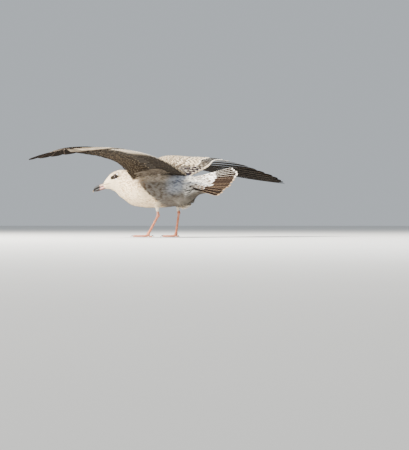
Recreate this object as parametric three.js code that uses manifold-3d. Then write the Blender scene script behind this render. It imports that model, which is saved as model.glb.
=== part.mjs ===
// A young gull, life size: it stands leaning forward, its wings held out and arched, its tail fanned.
// Millimetres, +Z up. The bird faces -Y and its left side is +X. Its soles rest on Z = 0.
// A place on the bird is written as [left, ahead, high]: to its left, towards its bill, above the floor.
import * as THREE from "three";
import { mergeVertices } from "three/addons/utils/BufferGeometryUtils.js";
import Module from "manifold-3d";

const wasm = await Module();
wasm.setup();

// ---- Driving dimensions -------------------------------------------------------------------------

const GAP = 0.35; // clear space between pieces that meet
const VANE = 1.2; // thickness of a sheet of flight feathers at its edge

// Sections of head, neck, trunk and tail root, from the bill's base to the end of the undertail.
// up, down and wide are the half sizes above, below and beside the middle line.
const BODY = [
  { at: [27, 218, 160.2], up: 9, down: 8.8, wide: 7.6 }, // bill base
  { at: [25, 208, 165.3], up: 15, down: 15.5, wide: 11.5 }, // lores
  { at: [22, 198.7, 169.6], up: 21.5, down: 23, wide: 16.5 }, // forehead
  { at: [18, 186, 172.7], up: 32, down: 29.5, wide: 21.5 }, // eyes
  { at: [11.5, 168, 172], up: 41, down: 36, wide: 26 }, // crown
  { at: [6, 146, 165], up: 45, down: 46, wide: 31 }, // nape
  { at: [2.5, 120, 161], up: 45, down: 60, wide: 38.5 }, // throat
  { at: [1, 94, 158], up: 45, down: 62.5, wide: 47 }, // breast
  { at: [0, 66, 154], up: 48, down: 62, wide: 55 }, // shoulders
  { at: [0, 32, 150], up: 52, down: 58, wide: 59 }, // breastbone
  { at: [0, -4, 150], up: 51, down: 57, wide: 56 }, // belly
  { at: [0, -36, 153], up: 45, down: 57, wide: 49 }, // flanks
  { at: [0, -66, 158], up: 36, down: 60, wide: 40 }, // vent
  { at: [0, -95, 164], up: 27, down: 49, wide: 31 }, // rump
  { at: [1, -124, 168], up: 17, down: 38, wide: 24 }, // tail root
  { at: [6, -152, 167], up: 10, down: 33, wide: 19 }, // tail coverts
  { at: [13, -180, 161], up: 6, down: 25, wide: 14 }, // undertail coverts
  { at: [17, -204, 155], up: 3, down: 12, wide: 8 }, // end of the coverts
];
const RINGS_A_STATION = 2;
const BODY_SIDES = 20;
const CUTS = { head: [0, 5], neck: [5, 7.5], trunk: [7.5, 13.5], tail: [13.5, 17] }; // in stations
const BODY_COLOURS = { head: 0xd9d2c4, neck: 0xd2cabb, trunk: 0x9b9186, tail: 0xa59a8c };

const HEAD = { yaw: 17, pitch: 18.5 }; // turned to its left, and bill down, in degrees
const BILL = { length: 43, ridge: 10.1, depth: 8.6, half: 7, gonys: 25 };
const EYE = { radius: 8, behind: 50.5, above: 14.5, beside: 15.6 };

// The wing's front edge from inside the shoulder to the wrist, then on to the hand's end.
const WING_FRONT = [
  [22, 98, 170],
  [84, 116, 228],
  [150, 138, 250],
  [252, 158, 257],
];
const HAND_FRONT = [
  [252, 158, 257],
  [312, 155, 256],
  [362, 136, 251],
];
// Its rear edge runs along the feather tips: tertials, secondaries, then primaries.
const WING_REAR = [
  [14, -94, 194],
  [104, -90, 224],
  [180, -60, 248],
  [258, -42, 257],
];
const HAND_REAR = [
  [258, -42, 257],
  [338, -66, 254],
  [430, -70, 244],
  [530, -58, 230],
  [612, -32, 215],
  [676, -6, 203],
];
const SHOULDER = [30, 96, 168];
const LIFT = { left: 2, right: -2.3 }; // each wing's turn upwards about its shoulder, in degrees
const SAG = { left: 0, right: 16 }; // how far each hand droops below its arch, half way along
const ARM = { feathers: 16, steps: 2, notch: 4 };
const HAND = { feathers: 10, steps: 3, notch: 11 };
// The wing's section at the shoulder, the wrist and the outermost feather.
const SECTION = { thick: [26, 17, 5], nose: [0.13, 0.1, 0.1], fade: [0.5, 0.4, 0.25], camber: [9, 8, 3] };
const WRIST_CUT = 0.019; // half the cut between arm and hand, in feathers
const CHORD = [0, 0.04, 0.13, 0.3, 0.5, 0.75, 1];

const TAIL = {
  root: [4, -112, 173],
  length: 158,
  shorter: [32, 20], // how much less the outermost right and left feathers reach
  roots: [-14, 26], // from the outermost right root to the left one
  spread: [-21, 21], // their directions, in degrees
  roll: 40, // right edge up
  rise: 1, // tip above root, in degrees
  feathers: 12,
  steps: 3,
  notch: 7,
};
const TAIL_CHORD = [0, 0.35, 0.7, 1];

const LEGS = {
  left: { knee: [33, 8, 108], ankle: [33, 3, 67], foot: [33, 41, 9] },
  right: { knee: [-33, -23, 110], ankle: [-33, -29, 75], foot: [-33, -18, 9] },
};
const SHANK = { joint: 5.6, side: 4, front: 3.1 };
const WEB = 2; // thickness
const TOES = [
  { name: "inner", angle: -27, length: 42, radius: 3.3 },
  { name: "middle", angle: 0, length: 54, radius: 3.6 },
  { name: "outer", angle: 27, length: 50, radius: 3.3 },
];
const HIND_TOE = { name: "hind", angle: -160, length: 13, radius: 2.4 };
const CLAW = { length: 8, radius: 1.9 };

// ---- Small helpers ------------------------------------------------------------------------------

const place = ([left, ahead, high]) => new THREE.Vector3(left, -ahead, high);
const curve = (points) => new THREE.CatmullRomCurve3(points.map(place), false, "catmullrom", 0.5);
const mix = THREE.MathUtils.lerp;
const radians = THREE.MathUtils.degToRad;
const range = (count) => Array.from({ length: count }, (_, i) => i);

// A closed solid through rings of points, each ring with the same number, capped at both ends.
function loft(rings) {
  const sides = rings[0].length;
  const last = rings.length * sides;
  const middle = (ring) => ring.reduce((sum, p) => sum.add(p), new THREE.Vector3()).divideScalar(sides);
  const points = [...rings.flat(), middle(rings[0]), middle(rings.at(-1))];
  const faces = [];
  for (const i of range(sides)) {
    const j = (i + 1) % sides;
    for (const r of range(rings.length - 1)) {
      const [a, b] = [r * sides, (r + 1) * sides];
      faces.push(a + i, a + j, b + j, a + i, b + j, b + i);
    }
    faces.push(last, j, i, last + 1, last - sides + i, last - sides + j);
  }
  const geometry = new THREE.BufferGeometry().setFromPoints(points);
  geometry.setIndex(faces);
  return geometry;
}

// A geometry as a manifold-3d solid, turned right side out.
function solid(geometry) {
  const bare = geometry.clone();
  bare.deleteAttribute("normal");
  bare.deleteAttribute("uv");
  const merged = mergeVertices(bare, 1e-4);
  const build = (triVerts) =>
    new wasm.Manifold(
      new wasm.Mesh({ numProp: 3, vertProperties: merged.attributes.position.array, triVerts }),
    );
  const triVerts = new Uint32Array(merged.index.array);
  const made = build(triVerts);
  return made.volume() > 0 ? made : build(triVerts.reverse());
}

// The largest body of a solid, as a geometry.
function geometryOf(made) {
  const bodies = made.decompose().sort((a, b) => b.volume() - a.volume());
  const mesh = bodies[0].getMesh();
  const geometry = new THREE.BufferGeometry();
  geometry.setAttribute("position", new THREE.BufferAttribute(mesh.vertProperties.slice(), 3));
  geometry.setIndex(new THREE.BufferAttribute(mesh.triVerts.slice(), 1));
  return geometry;
}

const bird = new THREE.Group();

function add(name, made, color, roughness = 0.85) {
  const material = new THREE.MeshStandardMaterial({ color, roughness, metalness: 0 });
  const mesh = new THREE.Mesh(geometryOf(made), material);
  mesh.geometry.computeVertexNormals();
  mesh.name = name;
  bird.add(mesh);
}

// ---- Head, neck, trunk and tail root --------------------------------------------------------------

const middleLine = curve(BODY.map((s) => s.at));
const halfSizes = new THREE.CatmullRomCurve3(
  BODY.map((s) => new THREE.Vector3(s.up, s.down, s.wide)),
  false,
  "catmullrom",
  0.5,
);

// The ring round the body at a station, whole or between two, grown outwards by some millimetres.
function bodyRing(station, grow) {
  const t = station / (BODY.length - 1);
  const centre = middleLine.getPoint(t);
  const along = middleLine.getTangent(t);
  const across = new THREE.Vector3(0, 0, 1).cross(along).normalize();
  const upwards = along.clone().cross(across).normalize();
  const half = halfSizes.getPoint(t);
  return range(BODY_SIDES).map((i) => {
    const angle = (2 * Math.PI * i) / BODY_SIDES;
    const rise = Math.sin(angle);
    return centre
      .clone()
      .addScaledVector(across, (half.z + grow) * Math.cos(angle))
      .addScaledVector(upwards, ((rise > 0 ? half.x : half.y) + grow) * rise);
  });
}

function bodyLength([from, to], grow = 0) {
  const steps = Math.round((to - from) * RINGS_A_STATION);
  return solid(loft(range(steps + 1).map((i) => bodyRing(mix(from, to, i / steps), grow))));
}

// The same length with its ends drawn in, so that it stands a thin cut away from its neighbours.
function partedLength([from, to]) {
  const end = BODY.length - 1;
  const inset = (station) => GAP / 2 / (middleLine.getLength() / end);
  const start = from > 0 ? from + inset(from) : from;
  const stop = to < end ? to - inset(to) : to;
  return bodyLength([start, stop]);
}

// ---- Bill and eyes, in the head's own frame: left, up and ahead from the bill's base ----------------

const headFrame = new THREE.Matrix4()
  .makeTranslation(place(BODY[0].at))
  .multiply(new THREE.Matrix4().makeRotationZ(radians(HEAD.yaw)))
  .multiply(new THREE.Matrix4().makeRotationX(radians(90 + HEAD.pitch)));

// One half of the bill from rows of [ahead, top, bottom, half width].
function mandible(rows) {
  const rings = rows.map(([ahead, top, bottom, half]) =>
    range(12).map((i) => {
      const angle = (2 * Math.PI * i) / 12;
      const height = (top + bottom) / 2 + ((top - bottom) / 2) * Math.sin(angle);
      return new THREE.Vector3(half * Math.cos(angle), height, ahead);
    }),
  );
  return solid(loft(rings).applyMatrix4(headFrame));
}

function upperMandible() {
  const { length, ridge, half } = BILL;
  return mandible([
    [-6, ridge - 1, GAP, half],
    [length * 0.2, ridge - 0.1, GAP, half * 0.88],
    [length * 0.4, ridge, GAP, half * 0.74],
    [length * 0.6, ridge - 0.7, -0.2, half * 0.6],
    [length * 0.76, ridge - 2.7, -1, half * 0.48],
    [length * 0.88, ridge - 6.8, -2.4, half * 0.36],
    [length * 0.96, ridge - 11.2, -4.2, half * 0.22],
    [length, ridge - 13.6, -5.2, half * 0.1],
  ]);
}

function lowerMandible() {
  const { gonys, depth, half } = BILL;
  return mandible([
    [-6, -0.2, -depth - 0.3, half * 0.96],
    [gonys * 0.5, -0.2, -depth + 0.2, half * 0.78],
    [gonys, -0.8, -depth + 0.6, half * 0.6],
    [gonys + 6, -1.7, -depth + 2, half * 0.46],
    [gonys + 11, -3.1, -depth + 3.6, half * 0.3],
  ]);
}

function eyeball(side, grow = 0) {
  const eye = new THREE.SphereGeometry(EYE.radius + grow, 12, 8);
  eye.translate(side * EYE.beside, EYE.above, -EYE.behind);
  return solid(eye.applyMatrix4(headFrame));
}

// ---- Wings ------------------------------------------------------------------------------------------

// A feather tip's rounding: 1 in the middle of its width and 0 at its edges.
const tipShape = (share) => Math.sqrt(Math.max(0, 1 - (2 * share - 1) ** 2));

// How thick the flesh and coverts are along a feather's line, from 0 to 1, round at the front edge.
function fullness(v, nose, fade) {
  if (v < nose) return Math.sqrt(1 - (1 - v / nose) ** 2);
  return 0.5 + 0.5 * Math.cos(Math.PI * Math.min(1, (v - nose) / fade));
}

const fronts = { arm: curve(WING_FRONT), hand: curve(HAND_FRONT) };
const rears = { arm: curve(WING_REAR), hand: curve(HAND_REAR) };

// A place on an edge of the wing, counted in feathers from the body.
function edge({ arm, hand }, feather) {
  const past = feather - ARM.feathers;
  return past < 0
    ? arm.getPoint(Math.max(0, feather / ARM.feathers))
    : hand.getPoint(Math.min(1, past / HAND.feathers));
}

function section([shoulder, wrist, end], feather) {
  const past = feather - ARM.feathers;
  return past < 0 ? mix(shoulder, wrist, feather / ARM.feathers) : mix(wrist, end, past / HAND.feathers);
}

// The loop round the wing along one feather: over the top to the tip and back underneath.
function wingRing(feather, drawnIn) {
  const root = edge(fronts, feather);
  const chord = edge(rears, feather).sub(root);
  const spread = (count) => edge(fronts, count).add(edge(rears, count));
  const upwards = spread(feather + 1).sub(spread(feather - 1)).cross(chord).normalize();
  if (upwards.z < 0) upwards.negate();
  const [thick, nose, fade, camber] = Object.values(SECTION).map((three) => section(three, feather));
  const reach = 1 - drawnIn / chord.length();
  const onSurface = (v, sign) => {
    const half = (VANE + (thick - VANE) * fullness(v, nose, fade)) / 2;
    return root
      .clone()
      .addScaledVector(chord, v * reach)
      .addScaledVector(upwards, camber * 4 * v * (1 - v) + sign * half);
  };
  const over = CHORD.map((v) => onSurface(v, 1));
  const under = CHORD.map((v) => onSurface(v, -1)).reverse();
  return [...over, ...under];
}

// A length of wing between two feather counts, its tips rounded one by one.
function wingLength(from, to, { feathers, steps, notch }) {
  const count = feathers * steps;
  const rings = range(count + 1).map((i) => {
    const drawnIn = notch * (1 - tipShape((i % steps) / steps));
    return wingRing(mix(from, to, i / count), drawnIn);
  });
  return loft(rings);
}

// Lets a wing's hand droop, turns the wing about its shoulder, and mirrors it for the right side.
function hung(geometry, label) {
  const [start, end] = [HAND_FRONT[0][0], HAND_REAR.at(-1)[0]];
  const points = geometry.attributes.position;
  for (const i of range(points.count)) {
    const along = THREE.MathUtils.clamp((points.getX(i) - start) / (end - start), 0, 1);
    points.setZ(i, points.getZ(i) - SAG[label] * Math.sin(Math.PI * along));
  }
  const joint = place(SHOULDER);
  geometry.translate(-joint.x, -joint.y, -joint.z);
  geometry.rotateY(radians(-LIFT[label]));
  geometry.translate(joint.x, joint.y, joint.z);
  return solid(label === "left" ? geometry : geometry.scale(-1, 1, 1));
}

// ---- Tail --------------------------------------------------------------------------------------------

function tailFan() {
  const { root, length, shorter, roots, spread, roll, rise, feathers, steps, notch } = TAIL;
  const count = feathers * steps;
  const rings = range(count + 1).map((i) => {
    const share = i / count;
    const aside = 2 * share - 1;
    const angle = radians(mix(...spread, share));
    const rounding = shorter[aside < 0 ? 0 : 1] * aside ** 2;
    const reach = length - rounding - notch * (1 - tipShape((i % steps) / steps));
    const start = mix(...roots, share);
    const thick = (v) => VANE / 2 + 3 * (1 - v) ** 2;
    const onSurface = (v, sign) =>
      new THREE.Vector3(start + Math.sin(angle) * reach * v, Math.cos(angle) * reach * v, sign * thick(v));
    const over = TAIL_CHORD.map((v) => onSurface(v, 1));
    const under = TAIL_CHORD.map((v) => onSurface(v, -1)).reverse();
    return [...over, ...under];
  });
  const fan = loft(rings).rotateX(radians(rise)).rotateY(radians(roll));
  const at = place(root);
  return solid(fan.translate(at.x, at.y, at.z));
}

// ---- Legs and feet -------------------------------------------------------------------------------------

// A limb from one place to another: rings with half sizes across the bird and along it.
function limb(from, to, rows, grow = 0) {
  const [a, b] = [place(from), place(to)];
  const along = b.clone().sub(a).normalize();
  const across = new THREE.Vector3(1, 0, 0);
  const front = along.clone().cross(across).normalize();
  const rings = rows.map(([share, wide, deep]) => {
    const centre = a.clone().lerp(b, share);
    return range(10).map((i) => {
      const angle = (2 * Math.PI * i) / 10;
      return centre
        .clone()
        .addScaledVector(across, (wide + grow) * Math.cos(angle))
        .addScaledVector(front, (deep + grow) * Math.sin(angle));
    });
  });
  return solid(loft(rings));
}

const thigh = (leg) =>
  limb(leg.knee, leg.ankle, [
    [0, 14, 15],
    [0.35, 11, 11.5],
    [0.7, 7.5, 8],
    [1, 5.4, 6],
  ]);

function shank(leg, grow = 0) {
  const { joint, side, front } = SHANK;
  const rows = [
    [-0.08, joint * 0.5, joint * 0.6],
    [-0.02, joint * 0.8, joint],
    [0.06, joint * 0.8, joint],
    [0.16, front, side],
    [0.5, front, side],
    [0.86, front, side],
    [0.96, joint * 0.8, joint * 0.8],
    [1.02, joint * 0.5, joint * 0.5],
  ];
  return limb(leg.ankle, leg.foot, rows, grow);
}

const toeTip = ({ angle, length }, side) =>
  new THREE.Vector2(Math.sin(radians(angle)) * side, -Math.cos(radians(angle))).multiplyScalar(length);

// A toe lies on the floor from the foot's joint outwards; its sole is cut flat with the foot's.
function toe(form, side) {
  const tip = toeTip(form, side);
  const { radius } = form;
  const rows = [
    [0, radius * 1.1, radius * 1.2],
    [0.35, radius, radius],
    [0.72, radius * 0.95, radius * 0.95],
    [0.94, radius * 0.8, radius * 0.8],
    [1, radius * 0.5, radius * 0.5],
  ];
  const rings = rows.map(([share, wide, deep]) =>
    range(8).map((i) => {
      const angle = (2 * Math.PI * i) / 8;
      const out = tip.clone().normalize();
      return new THREE.Vector3(
        tip.x * share - out.y * wide * Math.cos(angle),
        tip.y * share + out.x * wide * Math.cos(angle),
        deep * 0.7 + deep * Math.sin(angle),
      );
    }),
  );
  return solid(loft(rings));
}

// The webs: a sheet between the three front toes, hollowed a little between their tips.
function web(side) {
  const [inner, middle, outer] = TOES.map((form) => toeTip(form, side).multiplyScalar(0.95));
  const hollow = (a, b) => a.clone().add(b).multiplyScalar(0.43);
  const shape = new THREE.Shape();
  shape.moveTo(0, 5);
  shape.lineTo(inner.x, inner.y);
  shape.quadraticCurveTo(hollow(inner, middle).x, hollow(inner, middle).y, middle.x, middle.y);
  shape.quadraticCurveTo(hollow(middle, outer).x, hollow(middle, outer).y, outer.x, outer.y);
  shape.lineTo(0, 5);
  return solid(new THREE.ExtrudeGeometry(shape, { depth: WEB, bevelEnabled: false, curveSegments: 4 }));
}

function foot(leg, side) {
  const at = place(leg.foot);
  const below = new THREE.BoxGeometry(300, 300, 40).translate(0, 0, -20);
  const heel = new THREE.SphereGeometry(7, 8, 6).scale(0.85, 1, 1.1).translate(0, 0, 7.5);
  let made = web(side).add(solid(heel));
  for (const form of [...TOES, HIND_TOE]) made = made.add(toe(form, side));
  return made.subtract(solid(below)).translate([at.x, at.y, 0]).subtract(shank(leg, GAP));
}

// A short curved horn ahead of its toe.
function claw(leg, form, side) {
  const at = place(leg.foot);
  const out = toeTip(form, side).normalize();
  const rings = [0, 0.35, 0.7, 1].map((share) => {
    const ahead = form.length + GAP + CLAW.length * share;
    const radius = CLAW.radius * (1 - 0.85 * share);
    const high = 0.4 + radius + 1.6 * (1 - share * share);
    return range(8).map((i) => {
      const angle = (2 * Math.PI * i) / 8;
      return new THREE.Vector3(
        at.x + out.x * ahead - out.y * radius * Math.cos(angle),
        at.y + out.y * ahead + out.x * radius * Math.cos(angle),
        high + radius * Math.sin(angle),
      );
    });
  });
  return solid(loft(rings));
}

// ---- The bird ------------------------------------------------------------------------------------------

const grownBody = bodyLength([0, BODY.length - 1], GAP);

for (const [name, stations] of Object.entries(CUTS)) {
  let made = partedLength(stations);
  if (name === "head") made = made.subtract(eyeball(1, GAP)).subtract(eyeball(-1, GAP));
  if (name === "tail") made = made.add(tailFan()).subtract(bodyLength(CUTS.trunk, GAP));
  add(name, made, BODY_COLOURS[name]);
}
add("bill_upper", upperMandible().subtract(grownBody), 0x3a302e, 0.45);
add("bill_lower", lowerMandible().subtract(grownBody), 0x8a6a62, 0.45);

const wrist = ARM.feathers;
const wingEnd = wrist + HAND.feathers;

for (const [label, side] of [["left", 1], ["right", -1]]) {
  const leg = LEGS[label];
  add(`eye_${label}`, eyeball(side), 0x1c1512, 0.1);

  const arm = hung(wingLength(0, wrist - WRIST_CUT, ARM), label);
  const hand = hung(wingLength(wrist + WRIST_CUT, wingEnd, HAND), label);
  add(`wing_arm_${label}`, arm.subtract(grownBody), 0x8f857a);
  add(`wing_hand_${label}`, hand, 0x3b3632);

  add(`thigh_${label}`, thigh(leg).subtract(grownBody).subtract(shank(leg, GAP)), 0xcfc6b8);
  add(`shank_${label}`, shank(leg), 0xc99a86, 0.5);
  add(`foot_${label}`, foot(leg, side), 0xcf8f7c, 0.5);
  for (const form of [...TOES, HIND_TOE]) {
    add(`claw_${form.name}_${label}`, claw(leg, form, side), 0x2a2422, 0.35);
  }
}

export default bird;
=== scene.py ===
# %% [markdown]
# # A young gull with its wings held out
# The bird stands leaning forward on both feet, its wings arched and its tail fanned, at life size. The
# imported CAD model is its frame: every piece below is made in the same place and at the same scale as the
# solid that it stands for. Lengths are written in millimetres, as a maker measures them, and turned into
# metres where a mesh is made.

# %% Load the frame
import math

import bpy
import numpy as np
from mathutils import Matrix, Vector, noise
from mathutils.bvhtree import BVHTree


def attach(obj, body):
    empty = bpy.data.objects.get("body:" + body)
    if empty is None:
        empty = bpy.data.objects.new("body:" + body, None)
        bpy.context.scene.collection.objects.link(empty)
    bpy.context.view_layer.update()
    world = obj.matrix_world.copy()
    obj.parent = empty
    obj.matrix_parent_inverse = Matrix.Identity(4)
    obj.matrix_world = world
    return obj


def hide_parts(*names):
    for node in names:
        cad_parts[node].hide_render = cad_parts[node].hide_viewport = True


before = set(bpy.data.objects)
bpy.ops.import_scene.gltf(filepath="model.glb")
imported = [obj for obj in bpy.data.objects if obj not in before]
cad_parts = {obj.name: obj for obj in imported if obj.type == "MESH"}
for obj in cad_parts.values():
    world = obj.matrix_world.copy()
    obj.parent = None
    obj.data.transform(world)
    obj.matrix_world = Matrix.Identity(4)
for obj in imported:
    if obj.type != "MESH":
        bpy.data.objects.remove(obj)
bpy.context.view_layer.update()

MM = 0.001
CIRCLE = 2 * math.pi
DICE = np.random.default_rng(7)  # every chance comes from this one seeded dice, so each run is the same


def added(add, name, **settings):
    """What an operator adds, made with nothing else selected and named."""
    bpy.ops.object.select_all(action="DESELECT")
    add(**settings)
    bpy.context.object.name = name
    return bpy.context.object

# %% [markdown]
# ## Where the viewer stands
# The bird is seen from behind its left side, a little above the floor and far away through a long lens,
# which is how a bird on a high perch is seen from the ground. The camera comes first, so that every later
# piece can be judged.

# %% The camera
VIEW = {"turn": 125.0, "away": 7.0, "aside": 0.123, "high": 0.0375, "lens": 179.2}


def add_camera():
    turn = math.radians(VIEW["turn"])
    back = Vector((math.sin(turn), -math.cos(turn), 0))
    aside = Vector((-back.y, back.x, 0))
    spot = back * VIEW["away"] + aside * VIEW["aside"] + Vector((0, 0, VIEW["high"]))
    camera = added(bpy.ops.object.camera_add, "Camera", location=spot)
    camera.rotation_euler = (math.pi / 2, 0, turn)
    camera.data.lens = VIEW["lens"]
    camera.data.sensor_width = 36
    bpy.context.scene.camera = camera
    return camera


print("camera at", [round(v, 3) for v in add_camera().location])

# %% [markdown]
# ## The bird's measures
# These are the frame's own driving sizes. A place on the bird is [left, ahead, high]: to its left,
# towards its bill, and above the floor. The bird faces -Y, so ahead turns into -Y. Smooth curves through
# a few places give the middle line of the body and both edges of each wing.

# %% Measures of body, wings, tail, bill and legs
# Each body section: left, ahead, high of its middle, then its half sizes up, down and wide.
BODY = np.array([
    (27, 218, 160.2, 9, 8.8, 7.6),  # bill base
    (25, 208, 165.3, 15, 15.5, 11.5),  # lores
    (22, 198.7, 169.6, 21.5, 23, 16.5),  # forehead
    (18, 186, 172.7, 32, 29.5, 21.5),  # eyes
    (11.5, 168, 172, 41, 36, 26),  # crown
    (6, 146, 165, 45, 46, 31),  # nape
    (2.5, 120, 161, 45, 60, 38.5),  # throat
    (1, 94, 158, 45, 62.5, 47),  # breast
    (0, 66, 154, 48, 62, 55),  # shoulders
    (0, 32, 150, 52, 58, 59),  # breastbone
    (0, -4, 150, 51, 57, 56),  # belly
    (0, -36, 153, 45, 57, 49),  # flanks
    (0, -66, 158, 36, 60, 40),  # vent
    (0, -95, 164, 27, 49, 31),  # rump
    (1, -124, 168, 17, 38, 24),  # tail root
    (6, -152, 167, 10, 33, 19),  # tail coverts
    (13, -180, 161, 6, 25, 14),  # undertail coverts
    (17, -204, 155, 3, 12, 8),  # end of the coverts
], float)

HEAD = {"yaw": 17, "pitch": 18.5}
BILL = {"length": 43, "ridge": 10.1, "depth": 8.6, "half": 7, "gonys": 25}
EYE = {"radius": 8, "behind": 50.5, "above": 14.5, "beside": 15.6}

WING_FRONT = [(22, 98, 170), (84, 116, 228), (150, 138, 250), (252, 158, 257)]
HAND_FRONT = [(252, 158, 257), (312, 155, 256), (362, 136, 251)]
WING_REAR = [(14, -94, 194), (104, -90, 224), (180, -60, 248), (258, -42, 257)]
HAND_REAR = [(258, -42, 257), (338, -66, 254), (430, -70, 244), (530, -58, 230), (612, -32, 215),
             (676, -6, 203)]
SHOULDER = (30, 96, 168)
LIFT = {1: 2, -1: -2.3}  # each wing's turn upwards, in degrees; 1 is the bird's left side and -1 its right
SAG = {1: 0, -1: 16}  # how far each hand droops below its arch
ARM_COUNT, HAND_COUNT = 16, 10  # flight feathers on the arm and on the hand
SECTION = {"thick": (26, 17, 5), "nose": (0.13, 0.1, 0.1), "fade": (0.5, 0.4, 0.25), "camber": (9, 8, 3)}
SHEET = 1.2  # thickness of the sheet of flight feathers

TAIL = {"root": (4, -112, 173), "length": 158, "shorter": (32, 20), "roots": (-14, 26), "spread": (-21, 21),
        "roll": 40, "rise": 1, "count": 12}

LEGS = {
    1: {"knee": (33, 8, 108), "ankle": (33, 3, 67), "foot": (33, 41, 9)},
    -1: {"knee": (-33, -23, 110), "ankle": (-33, -29, 75), "foot": (-33, -18, 9)},
}
TOES = {"inner": (-27, 42, 3.3), "middle": (0, 54, 3.6), "outer": (27, 50, 3.3), "hind": (-160, 13, 2.4)}
CLAW = {"length": 8, "radius": 1.9}
SIDE = {1: "left", -1: "right"}


# %% Curves and places
def place(spots):
    """[left, ahead, high] in millimetres as a place in the row frame, still in millimetres."""
    return np.asarray(spots, float) * (1, -1, 1)


def unit(vectors):
    return vectors / np.maximum(np.linalg.norm(vectors, axis=-1, keepdims=True), 1e-9)


def curve(points):
    """A smooth curve through all the points: a function of a share from 0 to 1 along it."""
    inner = np.asarray(points, float)
    knots = np.vstack([2 * inner[0] - inner[1], inner, 2 * inner[-1] - inner[-2]])

    def at(share):
        run = np.clip(np.asarray(share, float), 0, 1) * (len(inner) - 1)
        first = np.minimum(run.astype(int), len(inner) - 2)
        f = (run - first)[..., None]
        before, start, end, after = (knots[first + i] for i in range(4))
        leave, arrive = (end - before) / 2, (after - start) / 2
        return ((2 * f**3 - 3 * f**2 + 1) * start + (f**3 - 2 * f**2 + f) * leave
                + (3 * f**2 - 2 * f**3) * end + (f**3 - f**2) * arrive)

    return at


middle_line = curve(place(BODY[:, :3]))
half_sizes = curve(BODY[:, 3:])
LAST = len(BODY) - 1  # the body's stations are counted from 0 at the bill's base to LAST


def body_axes(station):
    """Middle, tailward direction, leftward and upward axes and half sizes (up, down, wide) at a station."""
    share = np.asarray(station, float) / LAST
    along = unit(middle_line(share + 1e-4) - middle_line(share - 1e-4))
    across = unit(np.cross((0, 0, 1), along))
    return middle_line(share), along, across, np.cross(along, across), half_sizes(share)


def body_point(station, angle):
    middle, _, across, upwards, half = body_axes(station)
    rise, out = np.sin(angle), np.cos(angle)
    high = np.where(rise > 0, half[..., 0], half[..., 1])
    return middle + across * (half[..., 2] * out)[..., None] + upwards * (high * rise)[..., None]


head_frame = (Matrix.Translation(place(BODY[0, :3])) @ Matrix.Rotation(math.radians(HEAD["yaw"]), 4, "Z")
              @ Matrix.Rotation(math.radians(90 + HEAD["pitch"]), 4, "X"))
HEAD_TURN = np.array(head_frame.to_3x3())
HEAD_AT = np.array(head_frame.translation)


def from_head(points):
    """(left, up, ahead) of the bill's base, turned with the head, into the row frame."""
    return np.asarray(points, float) @ HEAD_TURN.T + HEAD_AT


def to_head(points):
    return (np.asarray(points, float) - HEAD_AT) @ HEAD_TURN


eye_at = {side: from_head((side * EYE["beside"], EYE["above"], -EYE["behind"])) for side in (1, -1)}
steps = np.diff(middle_line(np.linspace(0, 1, 200)), axis=0)
print("body line", round(float(np.linalg.norm(steps, axis=1).sum())), "mm long")


# %% The wing's surface
fronts = (curve(place(WING_FRONT)), curve(place(HAND_FRONT)))
rears = (curve(place(WING_REAR)), curve(place(HAND_REAR)))
WING_COUNT = ARM_COUNT + HAND_COUNT


def edge(pair, feather):
    """A place on the wing's front or rear edge, counted in flight feathers from the body."""
    feather = np.asarray(feather, float)
    past = feather - ARM_COUNT
    return np.where((past < 0)[..., None], pair[0](feather / ARM_COUNT), pair[1](past / HAND_COUNT))


def section(name, feather):
    shoulder, wrist, end = SECTION[name]
    return np.interp(feather, (0, ARM_COUNT, WING_COUNT), (shoulder, wrist, end))


def flesh(feather, v):
    """Half the wing's thickness in flesh and coverts at a share v of the way from front to rear edge."""
    nose, fade = section("nose", feather), section("fade", feather)
    front = np.sqrt(np.maximum(0, 1 - (1 - np.minimum(v, nose) / nose) ** 2))
    rear = 0.5 + 0.5 * np.cos(np.pi * np.clip((v - nose) / fade, 0, 1))
    return (SHEET + (section("thick", feather) - SHEET) * np.where(v < nose, front, rear)) / 2


def wing_point(side, feather, v, rise=0.0):
    """A place on a wing: feathers out from the body, share v to the rear edge, height above its middle."""
    feather, v, rise = np.broadcast_arrays(*(np.asarray(x, float) for x in (feather, v, rise)))
    root = edge(fronts, feather)
    chord = edge(rears, feather) - root
    step = (edge(fronts, feather + 1) + edge(rears, feather + 1)
            - edge(fronts, feather - 1) - edge(rears, feather - 1))
    upwards = unit(np.cross(step, chord))
    upwards = upwards * np.where(upwards[..., 2:] < 0, -1, 1)
    arch = section("camber", feather) * 4 * v * (1 - v)
    spot = root + chord * v[..., None] + upwards * (arch + rise)[..., None]
    wrist, tip = HAND_FRONT[0][0], HAND_REAR[-1][0]
    out = np.clip((spot[..., 0] - wrist) / (tip - wrist), 0, 1)
    spot = spot - np.stack([0 * out, 0 * out, SAG[side] * np.sin(np.pi * out)], -1)
    joint = place(SHOULDER)
    turn = math.radians(LIFT[side])
    x, y, z = np.moveaxis(spot - joint, -1, 0)
    cosine, sine = math.cos(turn), math.sin(turn)
    return (np.stack([x * cosine - z * sine, y, x * sine + z * cosine], -1) + joint) * (side, 1, 1)


def tail_point(share, v, rise=0.0):
    """A place on the tail's fan: share 0 is its right edge and 1 its left, v runs from root to tip."""
    share, v, rise = np.broadcast_arrays(*(np.asarray(x, float) for x in (share, v, rise)))
    aside = 2 * share - 1
    angle = np.radians(TAIL["spread"][0] + (TAIL["spread"][1] - TAIL["spread"][0]) * share)
    reach = TAIL["length"] - np.where(aside < 0, *TAIL["shorter"]) * aside**2
    start = TAIL["roots"][0] + (TAIL["roots"][1] - TAIL["roots"][0]) * share
    spot = np.stack([start + np.sin(angle) * reach * v, np.cos(angle) * reach * v, rise], -1)
    turn = [Matrix.Rotation(math.radians(TAIL[key]), 3, axis) for key, axis in (("roll", "Y"), ("rise", "X"))]
    return spot @ np.array(turn[0] @ turn[1]).T + place(TAIL["root"])


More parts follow.
